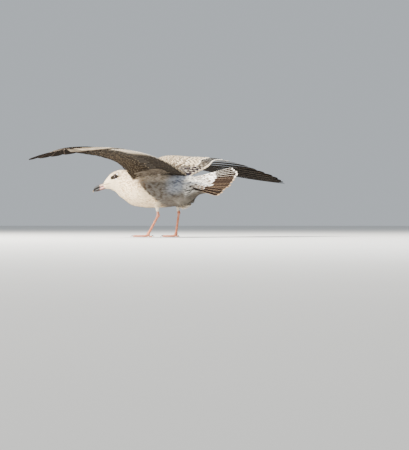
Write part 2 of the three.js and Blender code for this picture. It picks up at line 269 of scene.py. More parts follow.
wing_tips = [float(wing_point(side, WING_COUNT, 1)[0]) for side in (1, -1)]
print("wingspan", round(wing_tips[0] - wing_tips[1]), "mm")

# %% [markdown]
# ## Paint
# Plumage is painted by rule, never by image. Each feather carries a few numbers: its ground and marking
# colours, how strongly it is barred, fringed, flecked or streaked. One small class lets those numbers be
# written as plain arithmetic in Python, and every expression adds its own Math nodes to the material.

# %% A small language for shader numbers
def tint(code):
    """A colour written as six hexadecimal digits, as linear red, green and blue."""
    values = [int(code[i:i + 2], 16) / 255 for i in (0, 2, 4)]
    return tuple(v / 12.92 if v <= 0.04045 else ((v + 0.055) / 1.055) ** 2.4 for v in values)


def adds(operation, swapped=False):
    """A method that adds one Math node; swapped is the reflected form, with the other value first."""

    def method(self, *others):
        values = (*others, self) if swapped else (self, *others)
        return Number(self.paint, self.paint.node("ShaderNodeMath", {"operation": operation}, *values))

    return method


class Number:
    """A shader socket that arithmetic can be written with."""

    def __init__(self, paint, socket):
        self.paint, self.socket = paint, socket

    __add__ = __radd__ = adds("ADD")
    __mul__ = __rmul__ = adds("MULTIPLY")
    __sub__, __rsub__ = adds("SUBTRACT"), adds("SUBTRACT", swapped=True)
    __truediv__, __rtruediv__ = adds("DIVIDE"), adds("DIVIDE", swapped=True)
    power, most, least = adds("POWER"), adds("MAXIMUM"), adds("MINIMUM")
    size, wave = adds("ABSOLUTE"), adds("SINE")

    def ease(self, low, high):
        """0 below low and 1 above high, eased between; low may be the larger, which turns it over."""
        if low > high:
            return 1 - self.ease(high, low)
        smooth = {"interpolation_type": "SMOOTHSTEP"}
        return Number(self.paint, self.paint.node("ShaderNodeMapRange", smooth, self, low, high, 0.0, 1.0))


class Paint:
    """A new material, with one method that adds any node and short names for the nodes used most."""

    def __init__(self, name):
        self.material = bpy.data.materials.new(name)
        self.material.use_nodes = True
        self.tree = self.material.node_tree
        self.shader = self.tree.nodes["Principled BSDF"]

    def link(self, value, socket):
        if isinstance(value, Number):
            value = value.socket
        if isinstance(value, bpy.types.NodeSocket):
            self.tree.links.new(value, socket)
        elif socket.type == "RGBA":
            socket.default_value = (*value, 1)
        else:
            socket.default_value = value

    def node(self, kind, settings=None, *values, output=0, **named):
        """A node of that kind: its settings first, then its sockets' values or links, in order or by name.

        None leaves a socket as it is.
        """
        made = self.tree.nodes.new(kind)
        for key, setting in (settings or {}).items():
            setattr(made, key, setting)
        given = [(socket, value) for socket, value in zip(made.inputs, values) if value is not None]
        given += [(made.inputs[key.replace("_", " ")], value) for key, value in named.items()]
        for socket, value in given:
            self.link(value, socket)
        return made.outputs[output]

    def colour(self, attribute, output="Color"):
        return self.node("ShaderNodeAttribute", {"attribute_name": attribute}, output=output)

    def number(self, attribute):
        return Number(self, self.colour(attribute, "Fac"))

    def vane(self):
        """Across (-1 to 1) and along (0 to 1) a feather, from its own map."""
        vane = self.node("ShaderNodeUVMap", {"uv_map": "Vane"})
        split = self.node("ShaderNodeSeparateXYZ", None, vane).node
        across, along, _ = (Number(self, output) for output in split.outputs)
        return across * 2 - 1, along

    def place(self):
        return self.node("ShaderNodeTexCoord", output="Object")

    def noise(self, scale, detail=2.0, vector=None):
        vector = vector or self.place()
        return Number(self, self.node("ShaderNodeTexNoise", Vector=vector, Scale=scale, Detail=detail))

    def mix(self, share, first, second, blend="MIX"):
        settings = {"data_type": "RGBA", "blend_type": blend}
        return self.node("ShaderNodeMix", settings, share, *[None] * 5, first, second, output=2)

    def toned(self, colour, tone):
        """The colour made lighter or darker by a number."""
        return self.mix(1.0, colour, self.node("ShaderNodeCombineXYZ", None, tone, tone, tone), "MULTIPLY")

    def bump(self, height, depth, strength=1.0, **named):
        return self.node("ShaderNodeBump", Strength=strength, Distance=depth, Height=height, **named)

    def soft_normal(self, share):
        """The mesh's own normal turned part of the way to the plumage's, which is the attribute lay."""
        own = self.node("ShaderNodeNewGeometry", output="Normal")
        between = (share, *[None] * 3, own, self.colour("lay"))
        mixed = self.node("ShaderNodeMix", {"data_type": "VECTOR"}, *between, output=1)
        return self.node("ShaderNodeVectorMath", {"operation": "NORMALIZE"}, mixed)

    def finish(self, colour, rough, normal=None, **constants):
        """Links the colour, the roughness and the normal, and sets the shader's constants."""
        for key, value in (("Base Color", colour), ("Roughness", rough), ("Normal", normal)):
            if value is not None:
                self.link(value, self.shader.inputs[key])
        for key, value in constants.items():
            self.shader.inputs[key.replace("_", " ")].default_value = value
        return self.material


# %% [markdown]
# ## Mesh helpers
# Two kinds of piece are made again and again. A tube is a grid primitive rolled round a limb: its seam is
# merged and its ends are filled. A flock is one mesh that holds hundreds of vanes, each of them a small
# curved sheet or a thin closed shell. A flock keeps its feathers' numbers as attributes and has two maps:
# Vane runs across and along each feather, and OFBake keeps each one's own patch for the baked colours.

# %% Tubes and joined pieces
def alone(piece):
    bpy.ops.object.select_all(action="DESELECT")
    piece.select_set(True)
    bpy.context.view_layer.objects.active = piece
    return piece


def mesh_points(piece):
    points = np.empty(len(piece.data.vertices) * 3)
    piece.data.vertices.foreach_get("co", points)
    return points.reshape(-1, 3)


def set_points(piece, points):
    piece.data.vertices.foreach_set("co", np.asarray(points, float).ravel())
    piece.data.update()


def faced(piece, seam=False):
    """A closed piece with its faces turned outwards and shaded smooth; seam also merges and fills it."""
    alone(piece)
    bpy.ops.object.mode_set(mode="EDIT")
    if seam:
        bpy.ops.mesh.select_all(action="SELECT")
        bpy.ops.mesh.remove_doubles(threshold=1e-6)
        bpy.ops.mesh.select_all(action="DESELECT")
        bpy.ops.mesh.select_non_manifold(extend=False)
        bpy.ops.mesh.fill_holes(sides=0)
    bpy.ops.mesh.select_all(action="SELECT")
    bpy.ops.mesh.normals_make_consistent(inside=False)
    bpy.ops.object.mode_set(mode="OBJECT")
    bpy.ops.object.shade_smooth()
    return piece


def sheet(name, across, along, spot):
    """A grid laid out by spot(turn, share) in millimetres, turn and share each from 0 to 1."""
    piece = added(bpy.ops.mesh.primitive_grid_add, name, x_subdivisions=across, y_subdivisions=along, size=1)
    flat = mesh_points(piece)
    set_points(piece, spot(flat[:, 0] + 0.5, flat[:, 1] + 0.5) * MM)
    return piece


def tube(name, across, along, spot):
    """A closed tube: the sheet's first and last lines meet, and its ends are filled."""
    return faced(sheet(name, across, along, spot), seam=True)


def joined(pieces, name):
    bpy.ops.object.select_all(action="DESELECT")
    for piece in pieces:
        piece.select_set(True)
    bpy.context.view_layer.objects.active = pieces[0]
    bpy.ops.object.join()
    pieces[0].name = name
    return pieces[0]


def modified(piece, kind, **settings):
    """Adds a modifier, sets it and applies it."""
    alone(piece)
    made = piece.modifiers.new(kind.title(), kind)
    for key, value in settings.items():
        setattr(made, key, value)
    bpy.ops.object.modifier_apply(modifier=made.name)
    return piece


def at_origin(piece):
    alone(piece)
    bpy.ops.object.transform_apply(location=True, rotation=True, scale=True)
    return piece


def told(piece, material, slot, *nodes):
    """Gives a finished piece its material, attaches it and hides the solids that it stands for; slot is not
    used.
    """
    piece.data.materials.clear()
    piece.data.materials.append(material)
    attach(piece, "root")
    if nodes:
        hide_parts(*nodes)
    print(f"{piece.name}: {sum(len(f.vertices) - 2 for f in piece.data.polygons)} triangles")
    return piece


# %% Flocks of vanes
def set_look(piece, title, values):
    """Stores a look, a number or a colour for each point of a mesh, under its name."""
    kind, field = ("FLOAT_COLOR", "color") if values.ndim == 2 else ("FLOAT", "value")
    data = np.c_[values, np.ones(len(values))] if values.ndim == 2 else values
    store = piece.data.attributes.new(title, kind, "POINT")
    store.data.foreach_set(field, data.ravel())


def flock_faces(count, rows, cols, shell, turned):
    """The faces of count feathers; a shell's grid closes on itself and has a lid at each end."""
    each = rows * cols
    ring = np.arange(cols) if shell else np.arange(cols - 1)
    line = np.arange(rows - 1)[:, None] * cols
    a, b = (line + ring).ravel(), (line + (ring + 1) % cols).ravel()
    kinds = [np.stack([a, b, b + cols, a + cols], 1)]
    if shell:
        lid = np.arange(cols // 2 - 1)
        lids = np.stack([lid + 1, lid, cols - 1 - lid, cols - 2 - lid], 1)
        kinds.append(np.concatenate([lids, lids[:, ::-1] + (rows - 1) * cols]))
    first = np.arange(count)[:, None, None] * each
    faces = np.concatenate([(kind + first).reshape(-1, 4) for kind in kinds])
    reversed_faces = np.broadcast_to(turned, count)[faces[:, 0] // each]
    faces[reversed_faces] = faces[reversed_faces][:, ::-1]
    return faces


def add_maps(mesh, along, across, patches, shell):
    """Vane runs across and along each feather, and OFBake lies on each feather's own patch."""
    across = np.asarray(across) / 2 + 0.5
    around = across
    if shell:
        across = np.concatenate([across, across[::-1]])
        around = np.linspace(0.0, 0.97, len(across))
    rows, cols = len(along), len(across)
    corner = np.empty(len(mesh.loops), int)
    mesh.loops.foreach_get("vertex_index", corner)
    feather, within = np.divmod(corner, rows * cols)
    row, col = np.divmod(within, cols)
    vane = np.stack([across[col], along[row]], 1)
    patch = np.asarray(patches)[feather]
    u, v = around[col].copy(), along[row].copy()
    if shell:
        # The last strip round a shell and its two lids would have no width in the map, so they get a sliver.
        last = np.repeat(col.reshape(-1, 4).max(1), 4) == cols - 1
        u[(col == 0) & last] = 1.0
        lids_start = (rows - 1) * cols * len(patches) * 4
        under = (np.arange(len(corner)) >= lids_start) & (col >= cols // 2)
        v[under] = np.where(row[under] == 0, -0.01, 1.01)
        u[under] = around[cols - 1 - col[under]]
    baked = patch[:, :2] + np.stack([u, v], 1) * patch[:, 2:]
    for title, values in (("Vane", vane), ("OFBake", baked)):
        mesh.uv_layers.new(name=title).data.foreach_set("uv", values.ravel())
    mesh.uv_layers.active = mesh.uv_layers["Vane"]
    mesh.uv_layers["Vane"].active_render = True


def flock(name, sheets, looks, patches, along, across, shell=False, turned=False):
    """Many feathers as one mesh.

    sheets holds each feather's points as (feathers, rows, columns, 3) in millimetres, with its rows at
    along (0 to 1) and its columns at across (-1 to 1). With shell, the columns run round a thin closed
    section: over the top from edge to edge and back underneath. looks gives each feather's numbers by
    attribute name, for the whole feather or point by point, and patches its OFBake corner and size
    (u, v, wide, high). The faces of the feathers in turned are reversed, so that every face looks outwards.
    """
    count, rows, cols, _ = sheets.shape
    mesh = bpy.data.meshes.new(name)
    faces = flock_faces(count, rows, cols, shell, turned)
    mesh.from_pydata((sheets.reshape(-1, 3) * MM).tolist(), [], faces.tolist())
    add_maps(mesh, along, across, patches, shell)
    mesh.polygons.foreach_set("use_smooth", np.ones(len(mesh.polygons), bool))
    mesh.update()
    piece = bpy.data.objects.new(name, mesh)
    bpy.context.collection.objects.link(piece)
    for title, values in looks.items():
        values = np.asarray(values, float)
        coloured = values.shape[-1] == 3
        if values.ndim == 1 + coloured:
            values = np.repeat(values, rows * cols, 0)
        set_look(piece, title, values.reshape(-1, 3) if coloured else values.ravel())
    return piece

# %% [markdown]
# ## Where the markings and the painted shade go
# Skin and coat have to match, so one function says what the plumage looks like at any place on the body.
# It reads how far along the body the place is, how high on its side, and where it lies from the bill, and
# returns the colour there, marks, painted shade and all. The skin asks it at every point of its mesh, and
# so does each barb of the coat.

# %% Anatomy of a place
STATIONS = np.linspace(0, LAST, 340)


def anatomy(points):
    """At places: station, how far up (-1 belly to 1 back), the way tailwards and the place from the bill."""
    middle = body_axes(STATIONS)[0]
    nearest = np.empty(len(points), int)
    for start in range(0, len(points), 4000):
        block = points[start:start + 4000]
        nearest[start:start + 4000] = ((block[:, None] - middle) ** 2).sum(-1).argmin(1)
    station = STATIONS[nearest]
    centre, along, _, upwards, half = body_axes(station)
    high = ((points - centre) * upwards).sum(1)
    up = high / np.where(high > 0, half[:, 0], half[:, 1])
    return station, np.clip(up, -1.2, 1.2), along, to_head(points)


def ease(value, low, high):
    t = np.clip((value - low) / (high - low), 0, 1)
    return t * t * (3 - 2 * t)


def blend(first, second, share):
    return first + (np.asarray(second) - first) * np.asarray(share)[:, None]


def patchy(points, size, seed=0.0):
    """Soft patches of about that size in millimetres, from 0 to 1."""
    shift = Vector((seed, seed, seed))
    spots = [noise.noise(Vector(point) / size + shift) for point in np.asarray(points).tolist()]
    return np.clip(0.5 + np.array(spots), 0, 1)


def every(code, count):
    """The same colour for each of count points or feathers."""
    return np.tile(tint(code), (count, 1))


def eye_shades(head):
    """The face, from places measured from the bill: strength of smudge, crescents, spot, cheek and gape."""
    face = ease(np.abs(head[:, 0]), 3, 7)
    rise, front = head[:, 1] - EYE["above"], head[:, 2] + EYE["behind"]

    def patch(ahead, long, above, high, low=1.2, full=0.6):
        """An oval patch, from the eye's middle: where it lies and its half sizes."""
        return ease(np.hypot((front - ahead) / long, (rise - above) / high), low, full)

    streak = ease(np.hypot((front + 10) / 6.5, (rise - 0.05 * front + 1.6) / 2.4), 1.2, 0.6)
    smudge = np.maximum(patch(9.5, 7.4, 0.2, 6.2, 1.15, 0.8), 0.85 * patch(-0.5, 9.5, 0, 8.4, 1.15, 0.85))
    smudge = np.maximum(smudge, 0.85 * streak)
    crescents = np.maximum(patch(-8.5, 3.6, 5.4, 2.1), patch(-1.0, 5.0, -8.4, 1.7))
    spot, cheek = patch(-14.5, 3.8, 3.6, 2.6, 1.2, 0.5), patch(-16, 15, -2, 10, 1.3, 0.3)
    gape = ease(np.abs(rise + 12.5 - 0.22 * (front - 34)), 2.0, 0.4) * ease(front, 15, 30)
    gape = gape * ease(np.hypot(front, rise), 12, 16)
    return [mark * face for mark in (smudge, crescents, spot, cheek, gape)]


def on_wing(points):
    """1 on the wings' flesh and 0 on the body."""
    station = anatomy(points)[0]
    centre, _, across, upwards, half = body_axes(station)
    aside, high = (((points - centre) * axis).sum(1) for axis in (across, upwards))
    beyond = np.hypot(aside / half[:, 2], high / np.where(high > 0, half[:, 0], half[:, 1]))
    far = ease(np.abs(aside) - half[:, 2], 24, 34)
    return np.maximum(far, ease(beyond, 1.12, 1.28) * (station > 6)) * (points[:, 2] > 175)


def plumage(points):
    """The plumage's colour at places on the body, marks, painted shade and all."""
    station, up, _, head = anatomy(points)
    ahead, high = -points[:, 1], points[:, 2]
    large, small = patchy(points, 24), patchy(points, 8, 9.0)
    fine = patchy(points * (1, 0.55, 1), 3.4, 4.0)
    # The grey of the flank begins behind a slanting line from the neck's side down to the breast's end.
    # That line is the edge of the near wing's shadow: behind it the flank's own brown-grey mottles are
    # darkened as painted shade.
    behind = ease(high - (175 + 0.84 * (ahead - 72)) + 6 * (small - 0.5), -2, 4) * ease(ahead, 126, 112)
    back = ease(up, 0.3, 0.75) * ease(ahead, 140, 100)
    rear = ease(ahead, -22, -70)
    low = ease(up, -0.40, -0.75) * ease(ahead, 8, -16)
    upper = ease(up, 0.0, 0.4)
    rump_shade = ease(ahead, -56, -68) * ease(ahead, -98, -82) * ease(up, -0.35, 0.0)
    barred = ease(ahead, -86, -100) * ease(up, -0.85, -0.6) * ease(up, 0.1, -0.15)
    thigh = ease(high, 104, 96) * ease(up, -0.98, -1.08)
    crown = ease(station, 2.2, 3.4) * ease(up, 0.0, 0.7) * ease(station, 9.5, 7)
    nape = ease(station, 4.0, 6.0) * ease(up, -0.3, 0.4) * ease(station, 9.5, 8)
    smudge, crescent, spot, cheek, gape = eye_shades(head)
    # Each layer's colour and how much of it lies at each place, painted one over the other.
    layers = (
        ("a98558", 0.8 * ease(fine, 0.57, 0.69) * ease(ahead, 190, 130) * (1 - behind)),  # breast
        ("e9d3b0", 0.5 * ease(large, 0.45, 0.7)),
        # Painted shade: behind the line the flank is grey for the near wing's shadow, over its own mottles.
        ("504c49", behind * 0.95),  # flank
        ("3b3027", behind * 0.75 * ease(small * 0.6 + fine * 0.4, 0.50, 0.66)),
        ("706d69", behind * 0.6 * ease(small * 0.5 + fine * 0.5, 0.48, 0.34)),
        ("cfc2b0", back * (1 - rear) * 0.9),  # back
        ("5d4c3e", back * (1 - rear) * 0.8 * ease(fine, 0.50, 0.62)),
        # Painted shade: the rear flank in the wing's shadow is blue-grey, as shade under a pale sky.
        ("898e96", behind * rear * 0.85 * ease(up, -0.55, -0.1)),  # rump and tail root
        ("e2dcd0", ease(ahead, -75, -112) * upper),
        ("7c6a58", ease(ahead, -86, -112) * upper * 0.7 * ease(fine, 0.55, 0.66)),
        ("a5aab3", rear * ease(ahead, -110, -80) * ease(up, 0.3, 0.6)),
        ("3c3a3c", rear * 0.85 * ease(fine, 0.66, 0.74) * ease(up, -0.8, -0.3)),
        # Painted shade: dark blue-grey patches on the rump for the shade between wing and tail.
        ("464a5a", rump_shade * 0.8 * ease(fine * 0.6 + small * 0.4, 0.40, 0.54)),
        # Painted shade: the underside is grey-brown for the shade beneath the body, with its own brown
        # mottles.
        ("6c665f", low * 0.9),  # belly and vent
        ("544a40", low * 0.6 * ease(fine, 0.52, 0.66)),
        ("948c80", ease(ahead, -50, -72) * ease(high, 126, 110) * 0.85),
        ("e6e1d8", barred * 0.6),  # black and white bars under the tail's near edge
        ("1d1c20", barred * 0.9 * ease(fine, 0.42, 0.52)),
        ("eee2cf", thigh),
        ("8f7150", 0.9 * np.maximum(crown, 0.8 * nape) * ease(fine, 0.46, 0.58)),  # head
        ("cdbb9f", np.maximum(cheek * 0.35, crown * 0.35)),
        ("0c0909", np.minimum(smudge * 1.5, 0.98)),
        ("8c6244", spot * 0.85),
        ("fbf7ef", crescent * 0.95),
        ("4f3526", gape * 0.75),
        ("5b4d40", on_wing(points)),
    )
    ground = every("f6e0bb", len(points))
    for code, share in layers:
        ground = blend(ground, tint(code), share)
    return ground


# %% [markdown]
# ## The skin
# Under its feathers a bird is one closed skin. It is made as a modeller would: tubes for body, thighs and
# the fleshy front of each wing are joined, a voxel remesh welds them into one surface, and a few rounds
# of smoothing take away the crease where they met. That surface is how far the plumage reaches. Drawn
# inwards by the coat's depth, which is a millimetre on the face and five on the belly but never much of
# the flesh's own thickness, it becomes the skin.

# %% Body, thighs and the wings' flesh
THIGH_END = 0.5  # the share of the way from knee to ankle where the feathers end and bare leg begins


def body_tube():
    return tube("body", 64, 150, lambda turn, share: body_point(share * LAST, turn * CIRCLE))


def thigh_tube(side):
    knee, ankle = place(LEGS[side]["knee"]), place(LEGS[side]["ankle"])
    along = unit(ankle - knee)
    front = np.cross(along, (1, 0, 0))

    def spot(turn, share):
        stops = (0, 0.25, THIGH_END, 1)
        wide, deep = np.interp(share, stops, (14, 9.5, 4.6, 4.2)), np.interp(share, stops, (15, 11, 5.2, 4.6))
        angle = turn * CIRCLE
        return (knee + (ankle - knee) * share[:, None] + np.outer(wide * np.cos(angle), (1, 0, 0))
                + np.outer(deep * np.sin(angle), front / np.linalg.norm(front)))

    return tube("thigh", 24, 14, spot)


LIMB_END = 24.4  # the wing's flesh ends a little before the last flight feather


def limb_tube(side):
    """The wing's flesh: thick behind its front edge and thin where only the roots of the feathers run."""

    def spot(turn, share):
        feather = share * LIMB_END
        angle = turn * CIRCLE
        reach = section("nose", feather) + section("fade", feather) * 0.8
        v = reach * (0.5 - 0.5 * np.cos(angle)) + 0.004
        half = np.maximum(flesh(feather, v), 1.9)
        return wing_point(side, feather, v, half * np.sign(np.sin(angle)) * np.abs(np.sin(angle)) ** 0.3)

    return tube("limb", 28, 150, spot)


limbs = [part(side) for part in (thigh_tube, limb_tube) for side in (1, -1)]
plumes = joined([body_tube(), *limbs], "skin")
modified(plumes, "REMESH", mode="VOXEL", voxel_size=2.4 * MM)
modified(plumes, "SMOOTH", factor=0.5, iterations=7)
print("plumage surface:", len(plumes.data.vertices), "points")

# %% From the plumage's surface to the skin
coat_surface = BVHTree.FromObject(plumes, bpy.context.evaluated_depsgraph_get())


def point_normals(piece):
    normals = np.empty(len(piece.data.vertices) * 3)
    piece.data.vertices.foreach_get("normal", normals)
    return normals.reshape(-1, 3)


def coat_depth(points):
    """How deep the feathers are, in millimetres: least on face and legs, most on the belly."""
    depth = np.interp(anatomy(points)[0], (0, 1.5, 4, 7, 9, 13, 15, 17), (0.8, 1.3, 2.4, 4, 5.5, 5.5, 4, 2))
    wing = ease(np.abs(points[:, 0]), 58, 90) * ease(points[:, 2], 185, 200)
    depth = depth + (1.4 - depth) * wing
    leg = ease(points[:, 2], 98, 88)
    return depth + (2.6 - depth) * leg


envelope = mesh_points(plumes) / MM
inward = -point_normals(plumes)
room = [coat_surface.ray_cast(Vector(point + way * 1e-4), Vector(way))[3] or 1
        for point, way in zip(envelope * MM, inward)]
depth = np.minimum(coat_depth(envelope), 0.3 * np.array(room) / MM)
set_points(plumes, (envelope + inward * depth[:, None]) * MM)
skin = modified(plumes, "SMOOTH", factor=0.4, iterations=2)
alone(skin)
bpy.ops.object.mode_set(mode="EDIT")
bpy.ops.mesh.select_all(action="SELECT")
bpy.ops.uv.smart_project(angle_limit=math.radians(66), island_margin=0.002)
bpy.ops.object.mode_set(mode="OBJECT")
skin.data.uv_layers[0].name = "OFBake"
set_look(skin, "ground", plumage(mesh_points(skin) / MM))
bpy.ops.object.shade_smooth()
skin_surface = BVHTree.FromObject(skin, bpy.context.evaluated_depsgraph_get())
print("skin islands laid out on", len(skin.data.polygons), "faces")


def unwrap_patches(points, size=0.003):
    """Each root's own small patch on the unwrap of the skin."""
    data = skin.data
    uvs = np.empty(len(data.loops) * 2)
    data.uv_layers["OFBake"].data.foreach_get("uv", uvs)
    uvs = uvs.reshape(-1, 2)
    patches = np.empty((len(points), 4))
    for i, point in enumerate(points):
        spot, _, face, _ = skin_surface.find_nearest(Vector(point) * MM)
        loops = data.polygons[face].loop_indices
        corners = np.array([data.vertices[data.loops[j].vertex_index].co for j in loops])
        weight = 1 / (np.linalg.norm(corners - np.array(spot), axis=1) + 1e-6)
        patches[i] = (*(uvs[list(loops)] * weight[:, None]).sum(0) / weight.sum(), size, size)
    patches[:, :2] = np.clip(patches[:, :2] - size / 2, 0.0005, 0.9965)
    return patches


# %% [markdown]
# ## The plumage's paint
# A feather of the wing or tail shows a ground colour, dark marks laid across or along it, a dark end and
# a paler fringe. One material serves every flock, since each feather brings its own numbers. Very fine
# slanting lines in the bump stand for the barbs. The body's barbs and the skin are plainer: they show the
# colour of their place, clouded.

# %% Paint for vanes and for the skin between them
def vane_paint(name, barbs, sheen, rough):
    paint = Paint(name)
    across, along = paint.vane()
    seed, bars, rim, side, notch = map(paint.number, ("seed", "bars", "rim", "side", "notch"))
    edge_away = across.size()
    wobble = paint.noise(260, 1.0) - 0.5
    slant = along + edge_away * paint.number("vee") + wobble * 0.05
    bar = ((slant * bars + seed) * CIRCLE).wave().ease(-0.1, 0.35) * paint.number("barring")
    bar = bar * (1 - notch * edge_away.ease(0.62, 0.42)) * along.ease(0.02, 0.2)
    streak = (edge_away + wobble * 0.3).ease(0.42, 0.12) * along.ease(0.2, 0.6) * paint.number("streak")
    aside, ahead = edge_away * 0.7, along - 0.8
    spot = (aside * aside + ahead * ahead * 5 + wobble * 0.3).ease(0.40, 0.15)
    fleck = spot * paint.number("fleck") * (seed + wobble * 0.4).ease(0.35, 0.6)
    dark = bar.most(streak).most(fleck).least(1.0)
    deep = (slant - paint.number("band")).ease(0.0, 0.05)
    colour = paint.mix(deep, paint.colour("ground"), paint.colour("deep"))
    colour = paint.mix(dark * (1 - deep * 0.7), colour, paint.colour("mark"))
    reach = 1 - along - (1 - edge_away.power(2.0)) * 0.02 + wobble * rim * 0.6
    beside = ((1 - edge_away + wobble * 0.1) / side).ease(1.0, 0.6) * along.ease(0.3, 0.6)
    fringe = (reach / rim).ease(1.0, 0.55).most(beside)
    colour = paint.mix(fringe * paint.number("fringe"), colour, paint.colour("edge"))
    shaft = edge_away.ease(0.10, 0.03) * paint.number("shaft")
    colour = paint.mix(shaft, colour, paint.colour("quill"))
    colour = paint.toned(colour, 0.84 + paint.noise(45, 3.0) * 0.32)
    rows = ((along - edge_away * 0.12) * (barbs * CIRCLE)).wave() * 0.5 + 0.5
    height = rows * 0.35 + edge_away.ease(0.12, 0.0) * 1.2
    return paint.finish(colour, rough + rows * 0.08, paint.bump(height, 0.0004, 0.5), Sheen_Weight=sheen,
                        Sheen_Roughness=0.5, Specular_IOR_Level=0.0)


def plume_paint(name, depth, own):
    """For skin and for the loose barbs of the body: the stored colour, clouded, with a soft streaky bump."""
    paint = Paint(name)
    tone = 0.86 + paint.noise(60, 3.0) * 0.28
    if own:
        tone = tone * (0.90 + paint.vane()[1].ease(0.0, 0.55) * 0.10) * (0.93 + paint.number("seed") * 0.14)
    colour = paint.toned(paint.colour("ground"), tone)
    fluff = paint.noise(900, 2.0)
    smooth = {"Normal": paint.soft_normal(0.72)} if own else {}
    return paint.finish(colour, 0.82 + fluff * 0.1, paint.bump(fluff, depth, 0.35, **smooth),
                        Sheen_Weight=0.03, Sheen_Roughness=0.5, Specular_IOR_Level=0.0)


feather_paint = vane_paint("small feathers", 9, 0.04, 0.8)
flight_paint = vane_paint("flight feathers", 60, 0.0, 0.62)
plume_finish, skin_finish = plume_paint("barbs", 0.0002, True), plume_paint("down", 0.0006, False)
skin_nodes = ["head", "neck", "trunk", "tail"]
skin_nodes += [f"{node}_{SIDE[side]}" for node in ("thigh", "wing_arm", "wing_hand") for side in (1, -1)]
told(skin, skin_finish, "plumage_body", *skin_nodes)

# %% [markdown]
# ## The body's coat
# Contour feathers lie like roof tiles: each root is covered by the feathers ahead of it and each tip lies
# on those behind. Their roots are scattered over the plumage's surface, a millimetre apart on the face
# and four on the back. So close to the eye the barbs show rather than the vane, so each feather is a fan
# of narrow blades. They run tailwards along the surface, or down the leg on a thigh, from just below the
# surface to a little above it. Every point is drawn to the surface below it, so the coat keeps the bird's
# form, and only the vent's loose feathers hang.

# %% Scatter the roots
def eye_distance(points):
    """How far each place is from the middle of the nearer eye."""
    return np.minimum(*(np.linalg.norm(points - eye_at[side], axis=1) for side in (1, -1)))


def coat_spacing(points):
    """Distance between feathers and their length, in millimetres, at places on the plumage."""
    station, stops = anatomy(points)[0], (0, 1, 2.5, 4, 6, 8, 10, 13, 15, 17)
    apart = np.interp(station, stops, (1.15, 1.35, 1.7, 2.1, 2.9, 3.6, 3.8, 4.0, 4.2, 4))
    long = np.interp(station, stops, (3.8, 5.2, 7.5, 10, 15, 20, 22, 25, 27, 24))
    near = ease(eye_distance(points), 18, 9)
    leg = ease(points[:, 2], 102, 90)
    apart = apart + (1.2 - apart) * near
    long = long + (3.8 - long) * near
    return apart + (2.2 - apart) * leg, long + (8.5 - long) * leg


def scatter(corners, keep):
    """Roots spread evenly over triangles, whose corners are given: (points, normals) in millimetres."""
    square = np.cross(corners[:, 1] - corners[:, 0], corners[:, 2] - corners[:, 0])
    middles = corners.mean(1)
    apart, _ = coat_spacing(middles)
    wanted = np.linalg.norm(square, axis=1) / 2 / apart**2 * TRIES * keep(middles)
    chosen = DICE.choice(len(corners), int(wanted.sum()), p=wanted / wanted.sum())
    first, second = DICE.random((2, len(chosen), 1))
    over = first + second > 1
    first, second = np.where(over, 1 - first, first), np.where(over, 1 - second, second)
    tri = corners[chosen]
    spots = tri[:, 0] + (tri[:, 1] - tri[:, 0]) * first + (tri[:, 2] - tri[:, 0]) * second
    apart, _ = coat_spacing(spots)
    # A root too near one that was kept before it is dropped; the kept ones are filed in cubes of space.
    cells, kept = {}, []
    for i, (spot, gap) in enumerate(zip(spots.tolist(), (apart * 0.86).tolist())):
        key = tuple(int(c // CUBE) for c in spot)
        close = (cells.get((key[0] + x - 1, key[1] + y - 1, key[2] + z - 1), ())
                 for x, y, z in np.ndindex(3, 3, 3))
        others = (other for cell in close for other in cell)
        if all(sum((a - b) ** 2 for a, b in zip(spot, other)) > gap * gap for other in others):
            cells.setdefault(key, []).append(spot)
            kept.append(i)
    return spots[kept], unit(square)[chosen[kept]]


def feathered(points):
    """1 where contour feathers grow: not on the wings, the eyes, the bill or the bare legs."""
    bare = (on_wing(points) > 0.5) | (eye_distance(points) < EYE["radius"])
    return (~bare & (anatomy(points)[0] > 0.05) & (points[:, 2] > FEATHERED_ABOVE)).astype(float)


FEATHERED_ABOVE = 91  # the height on the legs where feathers end, in millimetres
TRIES = 5  # places tried for each feather that there is room for
CUBE = 7  # the side of the cubes in which near roots are looked for, in millimetres
corner_lists = (list(polygon.vertices) for polygon in skin.data.polygons)
triangles = [(v[0], v[i], v[i + 1]) for v in corner_lists for i in range(1, len(v) - 1)]
roots, root_normals = scatter(envelope[np.array(triangles)], feathered)
print(len(roots), "contour feathers")


# %% Which way each feather lies
def lie(points, normals):
    """The direction along the surface, from root to tip, at each place."""
    station, up, along, _ = anatomy(points)
    flow = along.copy()
    flow[:, 2] -= 0.18 * ease(np.abs(up), 1, 0.2) * ease(station, 4, 8)
    for side in (1, -1):
        knee, ankle = place(LEGS[side]["knee"]), place(LEGS[side]["ankle"])
        down = unit(ankle - knee)
        run = np.clip(((points - knee) @ down), 0, 60)
        near = ease(np.linalg.norm(points - knee - run[:, None] * down, axis=1), 22, 13)
        flow = flow + (down - flow) * (near * ease(points[:, 2], 106, 97))[:, None]
        # Round the eye the feathers part, and none lies across the lids.
        off = points - eye_at[side]
        off = unit(off - normals * (off * normals).sum(1, keepdims=True))
        close = ease(np.linalg.norm(points - eye_at[side], axis=1), 13, 9)[:, None]
        inward = np.minimum((flow * off).sum(1, keepdims=True), 0)
        flow = flow + close * (0.35 - inward) * off
    turn = DICE.normal(0, 0.10, (len(points), 1))
    flow = flow + np.cross(normals, flow) * turn
    return unit(flow - normals * (flow * normals).sum(1, keepdims=True))


# %% Lay the feathers on the surface
BARB_ROWS, BARB_COLUMNS = np.array([0, 0.35, 0.72, 1.0]), np.array([-1.0, 1.0])
BARB_WIDE = np.array([0.75, 1.0, 0.75, 0.12])


